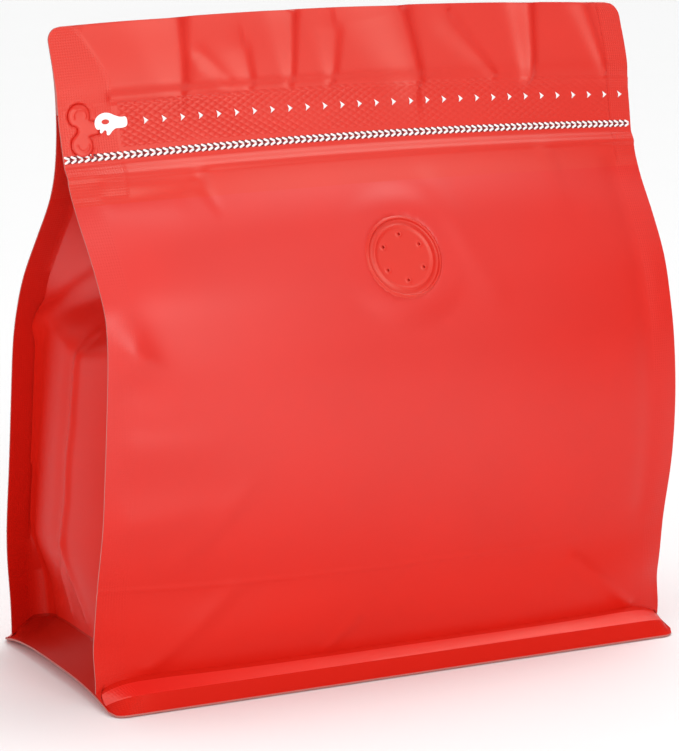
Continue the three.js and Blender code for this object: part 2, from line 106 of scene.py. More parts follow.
def follow(name, z):
    return np.interp(z, fineHeights, curves[name])


def ramp(a, b, v):
    # from 0 at a to 1 at b, with soft ends
    t = np.clip((v - a) / (b - a), 0.0, 1.0)
    return t * t * (3 - 2 * t)


def bump(v, centre, spread):
    return np.exp(-0.5 * ((v - centre) / spread) ** 2)


def softMax(a, b, roundness):
    # the greater of two values, with the crossing rounded
    h = np.maximum(roundness - np.abs(a - b), 0) / roundness
    return np.maximum(a, b) + h * h * roundness / 4


def lerp(a, b, k):
    return a + (b - a) * k


def meshObject(name, points, faces, smooth=True, sharp=None):
    mesh = bpy.data.meshes.new(name)
    mesh.from_pydata((np.asarray(points) * mm).tolist(), [], faces)
    mesh.polygons.foreach_set("use_smooth", [smooth] * len(mesh.polygons))
    if sharp:
        mesh.set_sharp_from_angle(angle=math.radians(sharp))
    mesh.update()
    return placed(name, mesh)


def applied(obj, *helpers, sharp=None):
    # the evaluated mesh takes the object's place, and what it was made with goes
    shape = obj.evaluated_get(bpy.context.evaluated_depsgraph_get())
    mesh = bpy.data.meshes.new_from_object(shape)
    obj.modifiers.clear()
    obj.data = mesh
    mesh.polygons.foreach_set("use_smooth", [True] * len(mesh.polygons))
    if sharp:
        mesh.set_sharp_from_angle(angle=math.radians(sharp))
    for helper in helpers:
        bpy.data.objects.remove(helper)
    return obj


def faceOutward(mesh):
    shape = bmesh.new()
    shape.from_mesh(mesh)
    bmesh.ops.recalc_face_normals(shape, faces=shape.faces)
    shape.to_mesh(mesh)
    shape.free()


# the film's shape, in millimetres
bag = {
    "halfWidth": 100.0,
    "halfDepth": 48.0,
    "edgeHeight": 204.0,
    "crownRise": 2.4,
    "crownReach": (70, 175),
    "topCornerRadius": 4.5,
    "baseCornerRadius": 5.0,
    "sealWidth": 9.0,
    "filmThickness": 0.55,
    "topThickness": 0.9,
    "mouthDepth": 2.0,
    "gussetFilm": 40.4,
    "skirtHeight": 6.5,
    "skirtLean": 0.6,
    "footHeight": 9.8,
    "cornerFoot": 4.2,
    "footFlare": 2.6,
    "sideArch": 4.2,
    "edgeLift": 0.35,
    # the underside: distances of its rows from its edge, and the height of its middle
    "underRows": (40, 30, 20, 14, 10, 9, 8.4, 6, 4.5, 3, 1.5),
    "underRise": 1.1,
    # how far the front's right edge is set back: size, height and spread
    "skews": [(9.8, 126, 24), (-2.0, 18, 16)],
    "foldHeight": 37.0,
    "bodyTop": 152.0,
    "bandTop": 180.0,
    "bandBottom": 159.5,
    "bandRise": 0.3,
    "zipStep": 1.3,
    "zipStepReach": (159.8, 163.2),
    "zipRidges": [160.5, 161.9],
    "zipRidgeRise": 0.2,
    "zipRidgeSpread": 0.35,
    "leftWeldDepth": 0.25,
    "rightWeldDepth": 0.2,
    "foldRise": 0.2,
    # the sides: a rib at the back root, a hollow beside each seal, the crease and the hollow behind it,
    # and how far the lower back part is drawn in
    "rootRib": 0.6,
    "sealHollow": 0.9,
    "creaseRise": 0.9,
    "creaseSpread": 1.5,
    "creaseHollow": 0.6,
    "footDraw": 5.0,
    "foldStart": [106, 101],
    "foldSoftness": 4.0,
    "halfGap": [(5, 34.6), (12, 34.8), (30, 37.9), (60, 39.8), (100, 39.4), (120, 35.2),
                (140, 20.8), (150, 11.3), (160, 5.4), (170, 2.9), (178, 1.5), (206, 1.2)],
    "lean": [(0, 3.2), (10, 3.1), (30, 2.7), (60, -2.8), (100, -8), (140, -13.7),
             (160, -13.1), (170, -12.4), (180, -11), (206, -1.2)],
    "belly": [(0, 7), (9.8, 10.3), (14, 12.1), (20, 12.9), (26, 12.5), (37, 11.45), (44, 11.15),
              (60, 9.75), (80, 8.6), (100, 6.9), (110, 5.7), (120, 4.25), (126, 4.0), (133, 4.9), (140, 6.6),
              (147, 8.0), (151, 7.7), (155, 6.1), (159, 4.0), (163, 2.7), (168, 2.1), (175, 1.6),
              (190, 1.35), (206, 1.3)],
    "sideBulge": [(6, 0.3), (14, 1.5), (24, 3.4), (40, 5.4), (70, 4.8), (100, 3.2), (125, 2.5), (206, 2)],
    "weldEdge": [(154, -83.4), (160, -81.4), (172, -82.1), (184, -82.6), (193, -85.2),
                 (201, -90), (206, -93)],
    # soft folds of the front: x and z of both ends, width at both ends, height at both ends,
    # and the right flank's width as a share of the left one's
    "folds": [
        (-59.5, 183, -58.5, 206, 3.4, 8.0, 0.8, 2.0, 0.26),
        (-52.3, 192.8, -44.5, 184.6, 1.5, 1.4, 0.45, 0.4, 1),
        (-53, 187.5, -47, 184.3, 3.0, 3.0, -0.7, -0.6, 1),
        (-36.3, 182.5, -37.5, 193, 1.3, 3.6, 0.5, 0.6, 0.35),
        (-22.9, 182.5, -19.5, 203, 1.2, 4.2, 0.5, 1.3, 0.28),
        (-8.7, 182, -5.5, 197, 1.2, 4.0, 0.5, 0.6, 0.35),
        (21.5, 181, 18, 202, 4.5, 10.0, 1.2, 2.6, 0.2),
        (49, 182, 36, 198, 1.5, 4.0, 0.45, 0.7, 0.4),
        (62.4, 181, 65.3, 206, 1.7, 3.8, 1.2, 2.3, 0.42),
        (91, 182, 86.5, 203, 1.2, 3.2, 0.5, 1.0, 0.35),
        (-82, 182.2, 38, 182.2, 1.2, 1.2, -0.8, -0.05, 1),
        (-88, 156.8, -60, 157.6, 2.4, 2.2, 1.0, 0.7, 1),
        (-60, 157, -56.5, 149, 1.6, 1.0, 0.6, 0.4, 1),
        (-88, 152.5, -70, 151, 2.6, 3.0, -0.7, -0.4, 1),
        (-97, 121, -92, 109, 5.0, 4.2, 1.1, 1.5, 1),
        (-92, 112, -80, 103, 3.0, 2.4, 0.7, 0.2, 1),
        (-92, 101, -85, 97, 3.0, 3.0, -0.7, -0.3, 1),
        (-91, 82, -70, 81, 3.3, 3.5, 1.0, 0.4, 1),
        (-92, 71, -66, 71, 3.8, 4.0, -0.7, -0.2, 1),
        (-92, 58, -64, 61, 3.4, 4.0, 1.2, 0.5, 1),
        (-57, 66, -78, 45, 2.6, 2.6, 0.5, 0.4, 1),
        (-60, 34, -84.5, 12, 2.2, 2.0, 0.7, 0.8, 1),
        (-18, 21, -26, 12, 1.6, 1.4, 0.5, 0.4, 1),
        (62, 30, 85, 11, 1.6, 1.4, 0.5, 0.9, 1),
        (89, 150, 89, 45, 3.2, 3.0, -0.8, -0.5, 1),
        (17, 150, 32, 120, 3.0, 4.0, 0.4, 0.25, 1),
        (64, 157, 64.6, 146, 2.2, 3.0, 0.6, 0.3, 1),
        (10, 71, 29, 52.5, 0.7, 0.7, 0.14, 0.14, 1),
    ],
    # folds of the sides: t and z of both ends (t runs from -1 at the front to 1 at the back)
    "sideFolds": [
        (0.98, 107, 0.5, 126, 3.0, 3.6, 1.8, 2.6, 1),
        (0.0, 108, -0.9, 119, 1.2, 1.4, -0.8, -0.8, 1),
        (0.02, 40, 0.42, 20, 1.4, 1.6, -0.9, -0.8, 1),
        (-0.02, 42, -0.35, 20, 1.5, 1.5, 0.7, 0.6, 1),
        (0.05, 38, 0.12, 19, 1.2, 1.2, 0.6, 0.5, 1),
    ],
}
innerS = 1 - bag["sealWidth"] / bag["halfWidth"]
curves = {name: softened(bag[name]) for name in ("halfGap", "lean", "belly", "sideBulge", "weldEdge")}

valve = {
    "x": 1.5,
    "height": 132.4,
    "slope": math.radians(24.9),
    "turn": math.radians(2.74),
    "seatDepth": 0.2,
    "flatReach": (12.9, 24.0),
    "wellDepth": 1.6,
    "wellReach": (12.6, 11.0),
}

tab = {
    "x": -93.4,
    "height": 173.3,
    "lobeSpan": 4.25,
    "upperRadius": 3.5,
    "lowerRadius": 3.4,
    "waist": 0.75,
    "armReach": 5.8,
    "armTop": 2.2,
    "armBottom": -1.5,
    "groove": 0.45,
    "sink": 0.6,
    "grooveDepth": 0.5,
    "lipRise": 0.1,
}


def skew(z):
    return sum(size * bump(z, height, spread) for size, height, spread in bag["skews"])


def widthAt(z):
    # half the panel's width
    r = bag["topCornerRadius"]
    over = np.clip(z - bag["edgeHeight"] + r, 0, r)
    return bag["halfWidth"] - r + np.sqrt(r * r - over * over)


def crown(s, z):
    # the front and back bow up in the middle; s runs from -1 to 1 across the panel
    return bag["crownRise"] * (1 - s * s) * ramp(*bag["crownReach"], z)


def frontEdgeY(s, z):
    return follow("lean", z) - follow("halfGap", z) + skew(z) * (s + 1) / 2


def belly(s, z):
    # the filled panels stand out, flatter across near the foot
    return follow("belly", z) * (1 - np.abs(s) ** lerp(2.5, 4.8, ramp(36, 12, z)))


def seatOfValve():
    # origin on the film, with the directions to the disc's right, up and out of the film
    turn, slope = valve["turn"], valve["slope"]
    right = np.array([math.cos(turn), math.sin(turn), 0])
    up = np.array([-math.sin(slope) * math.sin(turn), math.sin(slope) * math.cos(turn), math.cos(slope)])
    z = valve["height"] - float(crown(0.0, valve["height"]))
    y = float(frontEdgeY(0.0, z) - belly(0.0, z)) + valve["seatDepth"]
    return np.array([valve["x"], y, valve["height"]]), right, up, np.cross(right, up)


valveSeat = seatOfValve()


def flattenAtValve(x, y, z):
    origin, _, _, out = valveSeat
    away = np.hypot(x - origin[0], (z - origin[2]) / math.cos(valve["slope"]))
    flat = origin[1] - (out[0] * (x - origin[0]) + out[2] * (z - origin[2])) / out[1]
    well = valve["wellDepth"] * ramp(*valve["wellReach"], away)
    return lerp(flat, y, ramp(*valve["flatReach"], away)) + well


def arc(cx, cy, r, start, end, steps):
    a = np.radians(np.linspace(start, end, steps))
    return np.stack([cx + r * np.cos(a), cy + r * np.sin(a)], 1)


def curveTo(p, q, r, steps):
    t = np.linspace(0, 1, steps)[1:-1, None]
    return (1 - t) ** 2 * np.array(p) + 2 * t * (1 - t) * np.array(q) + t * t * np.array(r)


def tabOutline():
    # the tab is a dog bone with an arm to the right, drawn in its own plane
    v = tab
    arm, low, waist = v["armReach"], v["armBottom"], (-v["waist"], 0.2)
    upper = arc(0, v["lobeSpan"], v["upperRadius"], 228, -22, 40)
    lower = arc(0, -v["lobeSpan"], v["lowerRadius"], 40, -222, 40)
    return np.concatenate([
        upper,
        curveTo(upper[-1], (arm * 0.66, v["armTop"]), (arm, v["armTop"]), 10),
        [(arm, v["armTop"]), (arm, low)],
        curveTo((arm, low), (arm * 0.5, low - 0.2), lower[0], 10),
        lower,
        curveTo(lower[-1], (waist[0], -0.6), waist, 8),
        [waist],
        curveTo(waist, (waist[0], 1.2), upper[0], 8),
    ])


outline = tabOutline()


def distanceToTab(u, v):
    # signed distance to the outline: below zero inside the tab
    p = np.stack([u, v], -1)
    best = np.full(u.shape, 1e9)
    inside = np.zeros(u.shape, bool)
    for a, b in zip(outline, np.roll(outline, -1, axis=0)):
        ab = b - a
        t = np.clip(((p - a) @ ab) / max(ab @ ab, 1e-12), 0, 1)
        best = np.minimum(best, np.linalg.norm(p - a - t[..., None] * ab, axis=-1))
        if a[1] != b[1]:
            crosses = (a[1] > v) != (b[1] > v)
            inside ^= crosses & (u < a[0] + (v - a[1]) / (b[1] - a[1]) * ab[0])
    return np.where(inside, -best, best)


def tabRelief(x, z):
    # the film under the tab is sunk, with a groove round it and a fine lip
    near = (np.abs(x - tab["x"] - 1) < 10) & (np.abs(z - tab["height"]) < 11)
    rise = np.zeros(np.broadcast(x, z).shape)
    if near.any():
        x, z = np.broadcast_arrays(x, z)
        d = distanceToTab(x[near] - tab["x"], z[near] - tab["height"])
        sunk = np.where(d < 0, -tab["sink"], -tab["grooveDepth"] * ramp(tab["groove"], 0.1, d))
        rise[near] = sunk + tab["lipRise"] * bump(d, 0.95, 0.3)
    return rise


def softFolds(folds, x, z, across=1.0):
    # ridges and valleys along straight lines; across is the length of one unit of x
    rise = np.zeros(np.broadcast(x, z).shape)
    for x0, z0, x1, z1, w0, w1, h0, h1, share in folds:
        dx, dz = (x1 - x0) * across, z1 - z0
        t = np.clip(((x - x0) * across * dx + (z - z0) * dz) / (dx * dx + dz * dz), 0, 1)
        sideways = (x - x0) * across - t * dx
        away = np.hypot(sideways, z - z0 - t * dz)
        width = lerp(w0, w1, t) * np.where(sideways > 0, share, 1)
        rise += lerp(h0, h1, t) * np.exp(-0.5 * (away / width) ** 2)
    return rise


def frontRelief(x, z):
    # relief of the front film, measured outward
    b = bag
    inSeal = ramp(b["halfWidth"] - b["sealWidth"], b["halfWidth"] - 1, np.abs(x))
    rise = b["bandRise"] * ramp(b["bandBottom"] - 1, b["bandBottom"], z)
    rise = rise * ramp(b["bandTop"] + 0.6, b["bandTop"] - 0.4, z)
    for height in b["zipRidges"]:
        rise = rise + b["zipRidgeRise"] * bump(z, height, b["zipRidgeSpread"]) * (1 - inSeal)
    rise = rise - b["zipStep"] * ramp(*b["zipStepReach"], z) * ramp(186, 176, z)
    rise = rise + softFolds(b["folds"], x, z)
    # the welds beside the band lie lower than the film between them
    weld = ramp(0.5, -0.5, x - follow("weldEdge", z)) * ramp(153.4, 154.2, z)
    rise = rise - b["leftWeldDepth"] * weld
    rise = rise - b["rightWeldDepth"] * ramp(91.2, 92.2, x) * ramp(b["bodyTop"], 156, z)
    # a fine crease across the panel, fading out to the right
    rise = rise + b["foldRise"] * bump(z, b["foldHeight"], 0.55) * ramp(75, 20, x)
    return rise + tabRelief(x, z)


def frontPoint(s, z):
    s, z = np.broadcast_arrays(s, z)
    x = s * widthAt(z)
    height = z + crown(s, z)
    flare = bag["footFlare"] * ramp(20, 6, z) * np.abs(s) ** 6
    free = frontEdgeY(s, z) - belly(s, z) - frontRelief(x, z) - flare
    return np.stack([x, flattenAtValve(x, free, height), height], -1)


def backPoint(s, z):
    s, z = np.broadcast_arrays(s, z)
    x = s * widthAt(z)
    y = follow("lean", z) + follow("halfGap", z) + belly(s, z) * ramp(180, 100, z)
    # the flat top's back follows its front
    front = frontEdgeY(s, z) - belly(s, z) - softFolds(bag["folds"], x, z)
    y = lerp(y, front + bag["topThickness"], ramp(176, 194, z))
    return np.stack([x, y, z + crown(s, z)], -1)


def sideRise(t, z, side):
    # how far a side stands out past the seals' inner edges
    a, half = np.abs(t), bag["gussetFilm"]
    full = follow("sideBulge", z) * (1 - a**2.4)
    full = full + bag["rootRib"] * bump(t, 0.982, 0.01) - bag["sealHollow"] * bump(a, 0.86, 0.07)
    full = full + bag["creaseRise"] * bump(t * half, 0, bag["creaseSpread"]) * ramp(26, 44, z)
    full = full - bag["creaseHollow"] * bump(t * half, 5, 2.6) * ramp(30, 50, z)
    full = full - bag["footDraw"] * ramp(42, 19, z) * ramp(1, 0.985, t) * ramp(-0.7, 0.9, t)
    # above this ridge the side folds inward, as far as its film reaches
    ridge = bag["foldStart"][0 if side < 0 else 1] + 8 * a
    fallen = full - 1.3 * softMax(z - ridge, 0, bag["foldSoftness"])
    gapHere = follow("halfGap", z) - (skew(z) / 2 if side > 0 else 0)
    inward = np.sqrt(half**2 - gapHere**2) * (1 - a)
    rise = np.where(z < 60, full, softMax(fallen, -inward, 4))
    return rise + softFolds(bag["sideFolds"], t, z, half)


def sealBack(side, front, q, z):
    # the gusset's film, welded behind the seal; q is 1 at the outer edge
    edge = frontPoint(side * q, z) if front else backPoint(side * q, z)
    edge[..., 1] += bag["filmThickness"] * (1 if front else -1)
    return edge


def sidePoint(t, z, side):
    t, z = np.broadcast_arrays(t, z)
    front = sealBack(side, True, innerS, z)
    back = sealBack(side, False, innerS, z)
    p = lerp(front, back, ((t + 1) / 2)[..., None])
    p[..., 0] = front[..., 0] + side * sideRise(t, z, side)
    return p


def spaced(start, end, step):
    # even steps, without the end
    return np.linspace(start, end, max(1, round(abs(end - start) / step)), endpoint=False)


# columns of the panels, seals and sides, closer where the film bends sharply
frontS = np.concatenate([spaced(-100, -84, 0.4), spaced(-84, -81, 0.5), spaced(-81, 91, 0.98),
                         spaced(91, 92.5, 0.4), spaced(92.5, 100, 1), [100.0]]) / 100
backS = np.linspace(1, -1, 40)
sealQ = np.linspace(1, innerS, 5)
sideT = np.concatenate([spaced(-1, -0.95, 0.0125), spaced(-0.95, -0.12, 0.055), spaced(-0.12, 0.2, 0.025),
                        spaced(0.2, 0.95, 0.055), spaced(0.95, 1, 0.0125), [1.0]])
halfAround = 2 * (100 + bag["filmThickness"] + bag["sealWidth"] + bag["gussetFilm"])

# heights of the rows, up to the folded shoulder and then up to the mouth
levels = np.concatenate([
    spaced(bag["footHeight"], 34, 0.95), spaced(34, 40, 0.5), spaced(40, bag["bodyTop"], 1.6),
    spaced(bag["bodyTop"], 163, 0.4), spaced(163, 178, 0.4), [178.0]])
topLevels = np.concatenate([
    spaced(178.3, 184, 0.3), spaced(184, 199.5, 0.9), spaced(199.5, 204, 0.4), [204.0]])

# the bag's materials, in the order of its slots
trimSlot, cutSlot, gussetSlot, skirtSlot, bodySlot, litLedgeSlot = range(6)


def footAtFront(s):
    # where the wall begins above the skirt, lower at the corner seals
    low = bag["cornerFoot"]
    return low + (bag["footHeight"] - low) * (1 - np.abs(s) ** 16)


def lowered(foot, level):
    # the rows near the foot follow it down
    return level + (foot - bag["footHeight"]) * ramp(44, bag["footHeight"], level)


def blockOf(kind, side, along, level):
    # one run of columns round the bag at the given levels
    along, level = np.broadcast_arrays(along, level)
    if kind == "front":
        return frontPoint(along, lowered(footAtFront(along), level))
    if kind == "back":
        return backPoint(along, lowered(footAtFront(along), level))
    if kind == "side":
        # the side's foot is higher in front than at the back
        return sidePoint(along, lowered(13.2 - 4 * along - 1.2 * along**2, level), side)
    k = (1 - along) / (1 - innerS)
    front = kind == "sealFront"
    foot = lerp(bag["cornerFoot"], 16 if front else 8, k)
    return sealBack(side, front, along, lowered(foot, level))


def edgeOf(kind, side, along):
    # the skirt's lower edge: a rounded rectangle whose short sides arch off the floor
    corner = bag["baseCornerRadius"]

    def rounded(reach, v):
        p = v * (reach - corner * (1 - math.sqrt(0.5)))
        inset = np.maximum(0, np.abs(p) - (reach - corner))
        return p, corner - np.sqrt(corner**2 - inset**2)

    if kind in ("front", "back"):
        x, pulledIn = rounded(bag["halfWidth"], along)
        y = (bag["halfDepth"] - pulledIn) * (-1 if kind == "front" else 1)
        return np.stack([x, y, np.full_like(x, bag["edgeLift"])], -1)
    # shares of the half depth where a seal's tip and its root come down
    tip, root = 0.94, 0.66
    if kind == "side":
        v = along * root
    else:
        inwards = np.sqrt(np.clip((1 - along) / (1 - innerS), 0, 1))
        v = lerp(tip, root, inwards) * (-1 if kind == "sealFront" else 1)
    y, pulledIn = rounded(bag["halfDepth"], v)
    z = bag["edgeLift"] + bag["sideArch"] * (1 - np.abs(v) ** 3)
    return np.stack([side * (bag["halfWidth"] - pulledIn), y, z], -1)


def bendOf(kind, along, edge, foot):
    # where the skirt ends and the ledge begins
    if kind in ("front", "back"):
        corner = (np.abs(along) ** 20)[:, None]
        lean = bag["skirtLean"] * (1 if kind == "front" else -1)
        straight = edge + np.array([0, lean, bag["skirtHeight"] - bag["edgeLift"]])
        return lerp(straight, (edge + foot) / 2, corner)
    return lerp(edge, foot, 0.55)


def ringBlocks():
    # kind, side, parameter and film coordinate of each run, going round from the left front
    tip = 100 + bag["filmThickness"]
    root = tip + bag["sealWidth"]
    inner = sideT[1:-1]
    acrossSeal = lerp(tip, root, (1 - sealQ) / (1 - innerS))
    acrossSide = bag["gussetFilm"] * (1 + inner)
    return [
        ("front", 0, frontS, frontS * 100),
        ("sealFront", 1, sealQ, acrossSeal),
        ("side", 1, inner, root + acrossSide),
        ("sealBack", 1, sealQ[::-1], halfAround - acrossSeal[::-1]),
        ("back", 0, backS, halfAround - backS * 100),
        ("sealBack", -1, sealQ, halfAround + acrossSeal),
        ("side", -1, -inner, halfAround + root + acrossSide),
        ("sealFront", -1, sealQ[::-1], 2 * halfAround - acrossSeal[::-1]),
    ]


def quadUv(left, right, low, high):
    return [(left, low), (right, low), (right, high), (left, high)]


def buildBag():
    blocks = ringBlocks()
    around = np.concatenate([b[3] for b in blocks])
    count = len(around)
    ends = np.cumsum([len(b[3]) for b in blocks])
    edge = np.concatenate([edgeOf(k, side, a) for k, side, a, _ in blocks])
    walls = np.concatenate([blockOf(k, side, a[None, :], levels[:, None]) for k, side, a, _ in blocks], 1)
    foot = walls[0]
    parts = [slice(end - len(b[3]), end) for b, end in zip(blocks, ends)]
    bend = np.concatenate([bendOf(b[0], b[2], edge[part], foot[part]) for b, part in zip(blocks, parts)])
    thick = np.array([0, 0, bag["filmThickness"]])
    rows, heights = [], []

    def addRow(line, v):
        rows.append(line)
        heights.append(v)

    # underside, from the middle out to the cut edge
    for inset in bag["underRows"]:
        inward = edge * np.array([1 - inset / bag["halfWidth"], 1 - inset / bag["halfDepth"], 0])
        arch = (edge[:, 2] - bag["edgeLift"]) * max(0, 1 - inset / 16) ** 2
        lift = bag["edgeLift"] * ramp(4.5, 0, inset)
        inward[:, 2] = arch + lift + (bag["underRise"] if inset > 9.5 else 0.0)
        addRow(inward, -inset)
    cutRow = len(rows)
    addRow(edge, 0.0)
    addRow(edge + thick, bag["filmThickness"])
    for k in np.linspace(0.08, 1, 9):
        addRow(lerp(edge + thick, bend, k), bag["skirtHeight"] * k)
    bendRow = len(rows) - 2
    for k in np.linspace(0.12, 0.88, 7):
        addRow(lerp(bend, foot, k), lerp(bag["skirtHeight"], bag["footHeight"], k))
    bottom = len(rows)
    for level, line in zip(levels, walls):
        addRow(line, level)
    points = np.array(rows).reshape(-1, 3).tolist()
    faces, uvs, slots = [], [], []

    def addFace(corners, film, slot):
        faces.append(corners)
        uvs.extend(film)
        slots.append(slot)

    def addLine(line):
        first = len(points)
        points.extend(line.tolist())
        return list(range(first, len(points)))

    def slotOf(kind, row):
        # the material of the faces just below a row
        onPanel = kind in ("front", "back")
        if cutRow < row - 1 <= (bendRow if onPanel else bottom):
            return skirtSlot
        # most of the ledge's rows take the lighter film: a painted highlight
        if onPanel and bendRow < row - 1 <= bottom - 3:
            return litLedgeSlot
        if kind == "side" and row > bottom:
            return gussetSlot
        return bodySlot if heights[row] <= bag["bodyTop"] else trimSlot

    kinds = [b[0] for b in blocks for _ in b[3]]
    closed = np.append(around, 2 * halfAround - 100)
    for row in range(1, len(rows)):
        low, high = (row - 1) * count, row * count
        for i in range(count):
            j = (i + 1) % count
            film = quadUv(closed[i], closed[i + 1], heights[row - 1], heights[row])
            addFace((low + i, low + j, high + j, high + i), film, slotOf(kinds[i], row))
    # cut edge of the skirt, and of the front and back films beside the seals
    for i in range(count):
        slots[cutRow * count + i] = cutSlot
    for end in (ends[0], ends[3], ends[4], ends[7]):
        for row in range(bottom, len(rows) - 1):
            slots[row * count + end - 1] = cutSlot

    # underside's middle
    centre = len(points)
    points.append([0, 0, bag["underRise"]])
    for i in range(count):
        addFace((centre, (i + 1) % count, i), [(0, -48), (1, -40), (0, -40)], trimSlot)

    # the flat top has only a front and a back row, and the folded sides close below it
    last = (len(rows) - 1) * count
    frontLow = [last + i for i in range(ends[0])]
    backLow = [last + i for i in range(ends[3], ends[4])]
    rightFold = [last + i for i in range(ends[0] - 1, ends[3] + 1)]
    leftFold = [last + i for i in range(ends[4] - 1, count)] + [last]
    foldUv = [(120, 178), (121, 178), (120, 179)]
    lowLevel = levels[-1]
    for level in topLevels:
        frontTop = addLine(frontPoint(frontS, np.full_like(frontS, level)))
        backTop = addLine(backPoint(backS, np.full_like(backS, level)))
        for lower, upper, us in ((frontLow, frontTop, frontS * 100),
                                 (backLow, backTop, halfAround - backS * 100)):
            for i in range(len(lower) - 1):
                film = quadUv(us[i], us[i + 1], lowLevel, level)
                addFace((lower[i], lower[i + 1], upper[i + 1], upper[i]), film, trimSlot)
        for a, b, c, d, fold in ((frontLow[-1], backLow[0], backTop[0], frontTop[-1], rightFold),
                                 (backLow[-1], frontLow[0], frontTop[0], backTop[-1], leftFold)):
            if level > topLevels[0]:
                addFace((a, b, c, d), quadUv(100.5, 101, lowLevel, level), cutSlot)
                continue
            half = len(fold) // 2
            for i in range(1, len(fold)):
                addFace((fold[i - 1], fold[i], d if i <= half else c), foldUv, trimSlot)
            addFace((fold[half], c, d), foldUv, trimSlot)
        frontLow, backLow, lowLevel = frontTop, backTop, level

    # mouth: a shallow slit between the two films
    def copied(indices, dy, dz):
        x, y, z = np.array([points[i] for i in indices]).T
        return addLine(np.stack([x * 0.9985, y + dy, z + dz], -1))

    wall, depth = bag["topThickness"] * 0.36, bag["mouthDepth"]
    frontIn = copied(frontLow, wall, 0)
    backIn = copied(backLow, -wall, 0)
    frontDeep = copied(frontLow, wall, -depth)
    backDeep = copied(backLow, -wall, -depth)
    mouthUv = quadUv(0, 1, 206, 207)
    for a, b, slot in ((frontLow, frontIn, cutSlot), (backLow, backIn, cutSlot),
                       (frontIn, frontDeep, trimSlot), (backIn, backDeep, trimSlot)):
        for i in range(len(a) - 1):
            addFace((a[i], a[i + 1], b[i + 1], b[i]), mouthUv, slot)

    # the slit's floor: its rows have different counts, so the front one is zipped to the back one
    far = backDeep[::-1]
    i = j = 0
    while i < len(frontDeep) - 1 or j < len(far) - 1:
        nextFront = points[frontDeep[i + 1]][0] if i < len(frontDeep) - 1 else 1e9
        nextFar = points[far[j + 1]][0] if j < len(far) - 1 else 1e9
        film = [(0, 206), (1, 206), (0, 207)]
        if nextFront <= nextFar:
            addFace((frontDeep[i], frontDeep[i + 1], far[j]), film, trimSlot)
            i += 1
        else:
            addFace((frontDeep[i], far[j + 1], far[j]), film, trimSlot)
            j += 1
    frontRows, backRows = (frontLow, frontIn, frontDeep), (backLow, backIn, backDeep)
    for (a, b, c), (d, e, f) in ((frontRows, backRows), (backRows, frontRows)):
        addFace((a[-1], d[0], e[0], b[-1]), mouthUv, cutSlot)
        addFace((b[-1], e[0], f[0], c[-1]), mouthUv, trimSlot)

    obj = meshObject("bagFilm", points, faces, sharp=48)
    layer = obj.data.uv_layers.new(name="film")
    layer.data.foreach_set("uv", (np.array(uvs) * mm).ravel())
    obj.data.polygons.foreach_set("material_index", slots)
    return obj


bagFilm = buildBag()
print("bag film built", len(bagFilm.data.polygons), "faces")

valvePiece = {
    # radius and height of the disc's upper side, from the middle out; rings are close round the pinholes
    "profile": [
        *[(r, -0.2) for r in (0, 2, 4, 5.6, *np.arange(6.2, 8.7, 0.12), 8.9)],
        (9.3, -0.17), (9.6, -0.06), (9.9, 0.04), (10.15, 0.06), (10.4, -0.02), (10.7, -0.2),
        (11.1, -0.3), (11.6, -0.33), (11.95, -0.3), (12.1, -0.1), (12.2, 0.25), (12.3, 0.45),
        (12.45, 0.56), (12.6, 0.56), (12.75, 0.46), (12.95, 0.2), (13.15, 0.04), (13.5, -0.08)],
    "underside": -1.4,
    "segments": 200,
    "pinholeCircle": 7.4,
    "pinholeRadius": 0.45,
    "pinholeLip": 0.12,
    "pinholes": 6,
}


def buildValve(v):
    origin, right, up, out = valveSeat
    basis = np.stack([right, up, out])
    segments = v["segments"]
    angles = 2 * math.pi * np.arange(segments) / segments
    centres = 2 * math.pi * np.arange(v["pinholes"]) / v["pinholes"]
    holeX, holeY = v["pinholeCircle"] * np.sin(centres), v["pinholeCircle"] * np.cos(centres)
    rings = []
    for r, h in v["profile"][1:]:
        x, y = r * np.cos(angles), r * np.sin(angles)
        near = np.min(np.hypot(x[:, None] - holeX, y[:, None] - holeY), 1)
        rings.append(np.stack([x, y, h + v["pinholeLip"] * bump(near, 0.75, 0.22)], 1))
    below = [0, 0, v["underside"]]
    rings.append(rings[-1] * np.array([1, 1, 0]) + np.array(below))
    local = [[0, 0, v["profile"][0][1]]] + np.concatenate(rings).tolist() + [below]
    faces = []
    for i in range(segments):
        j = (i + 1) % segments
        faces.append((0, 1 + i, 1 + j))
        for k in range(len(rings) - 1):
            a, b = 1 + k * segments, 1 + (k + 1) * segments
            faces.append((a + i, b + i, b + j, a + j))
        low = 1 + (len(rings) - 1) * segments
        faces.append((len(local) - 1, low + j, low + i))
    disc = meshObject("valveDisc", origin + np.array(local) @ basis, faces)

    cutter = bmesh.new()
    radius = v["pinholeRadius"] * mm
    for x, y in zip(holeX, holeY):
        made = bmesh.ops.create_cone(cutter, cap_ends=True, segments=20, radius1=radius, radius2=radius,
                                     depth=1.6 * mm)
        bmesh.ops.translate(cutter, verts=made["verts"], vec=(x * mm, y * mm, 0))
    mesh = bpy.data.meshes.new("pinholes")
    cutter.to_mesh(mesh)
    cutter.free()
    co = np.array([p.co for p in mesh.vertices])
    mesh.vertices.foreach_set("co", (origin * mm + co @ basis).ravel())
    holes = placed("pinholes", mesh)
    cut = disc.modifiers.new("cut", "BOOLEAN")
    cut.object = holes
    cut.solver = "EXACT"
    return applied(disc, holes, sharp=50)


valveDisc = buildValve(valvePiece)
print("valve built")

tabPiece = {
    # the plate is cut from a grid of this reach and step
    "across": (-4.6, 6.6),
    "tall": (-8.4, 8.6),
    "step": 0.22,
    "thickness": 0.9,
    "proud": 0.12,
    "edge": 0.22,
    "edgeDrop": 0.45,
    # two pressed lines: an arch in the upper lobe and a cup in the lower one
    "archRadius": 1.9,
    "cupRadius": 1.8,
    "pressedLine": 0.16,
    "lineSpread": 0.22,
}


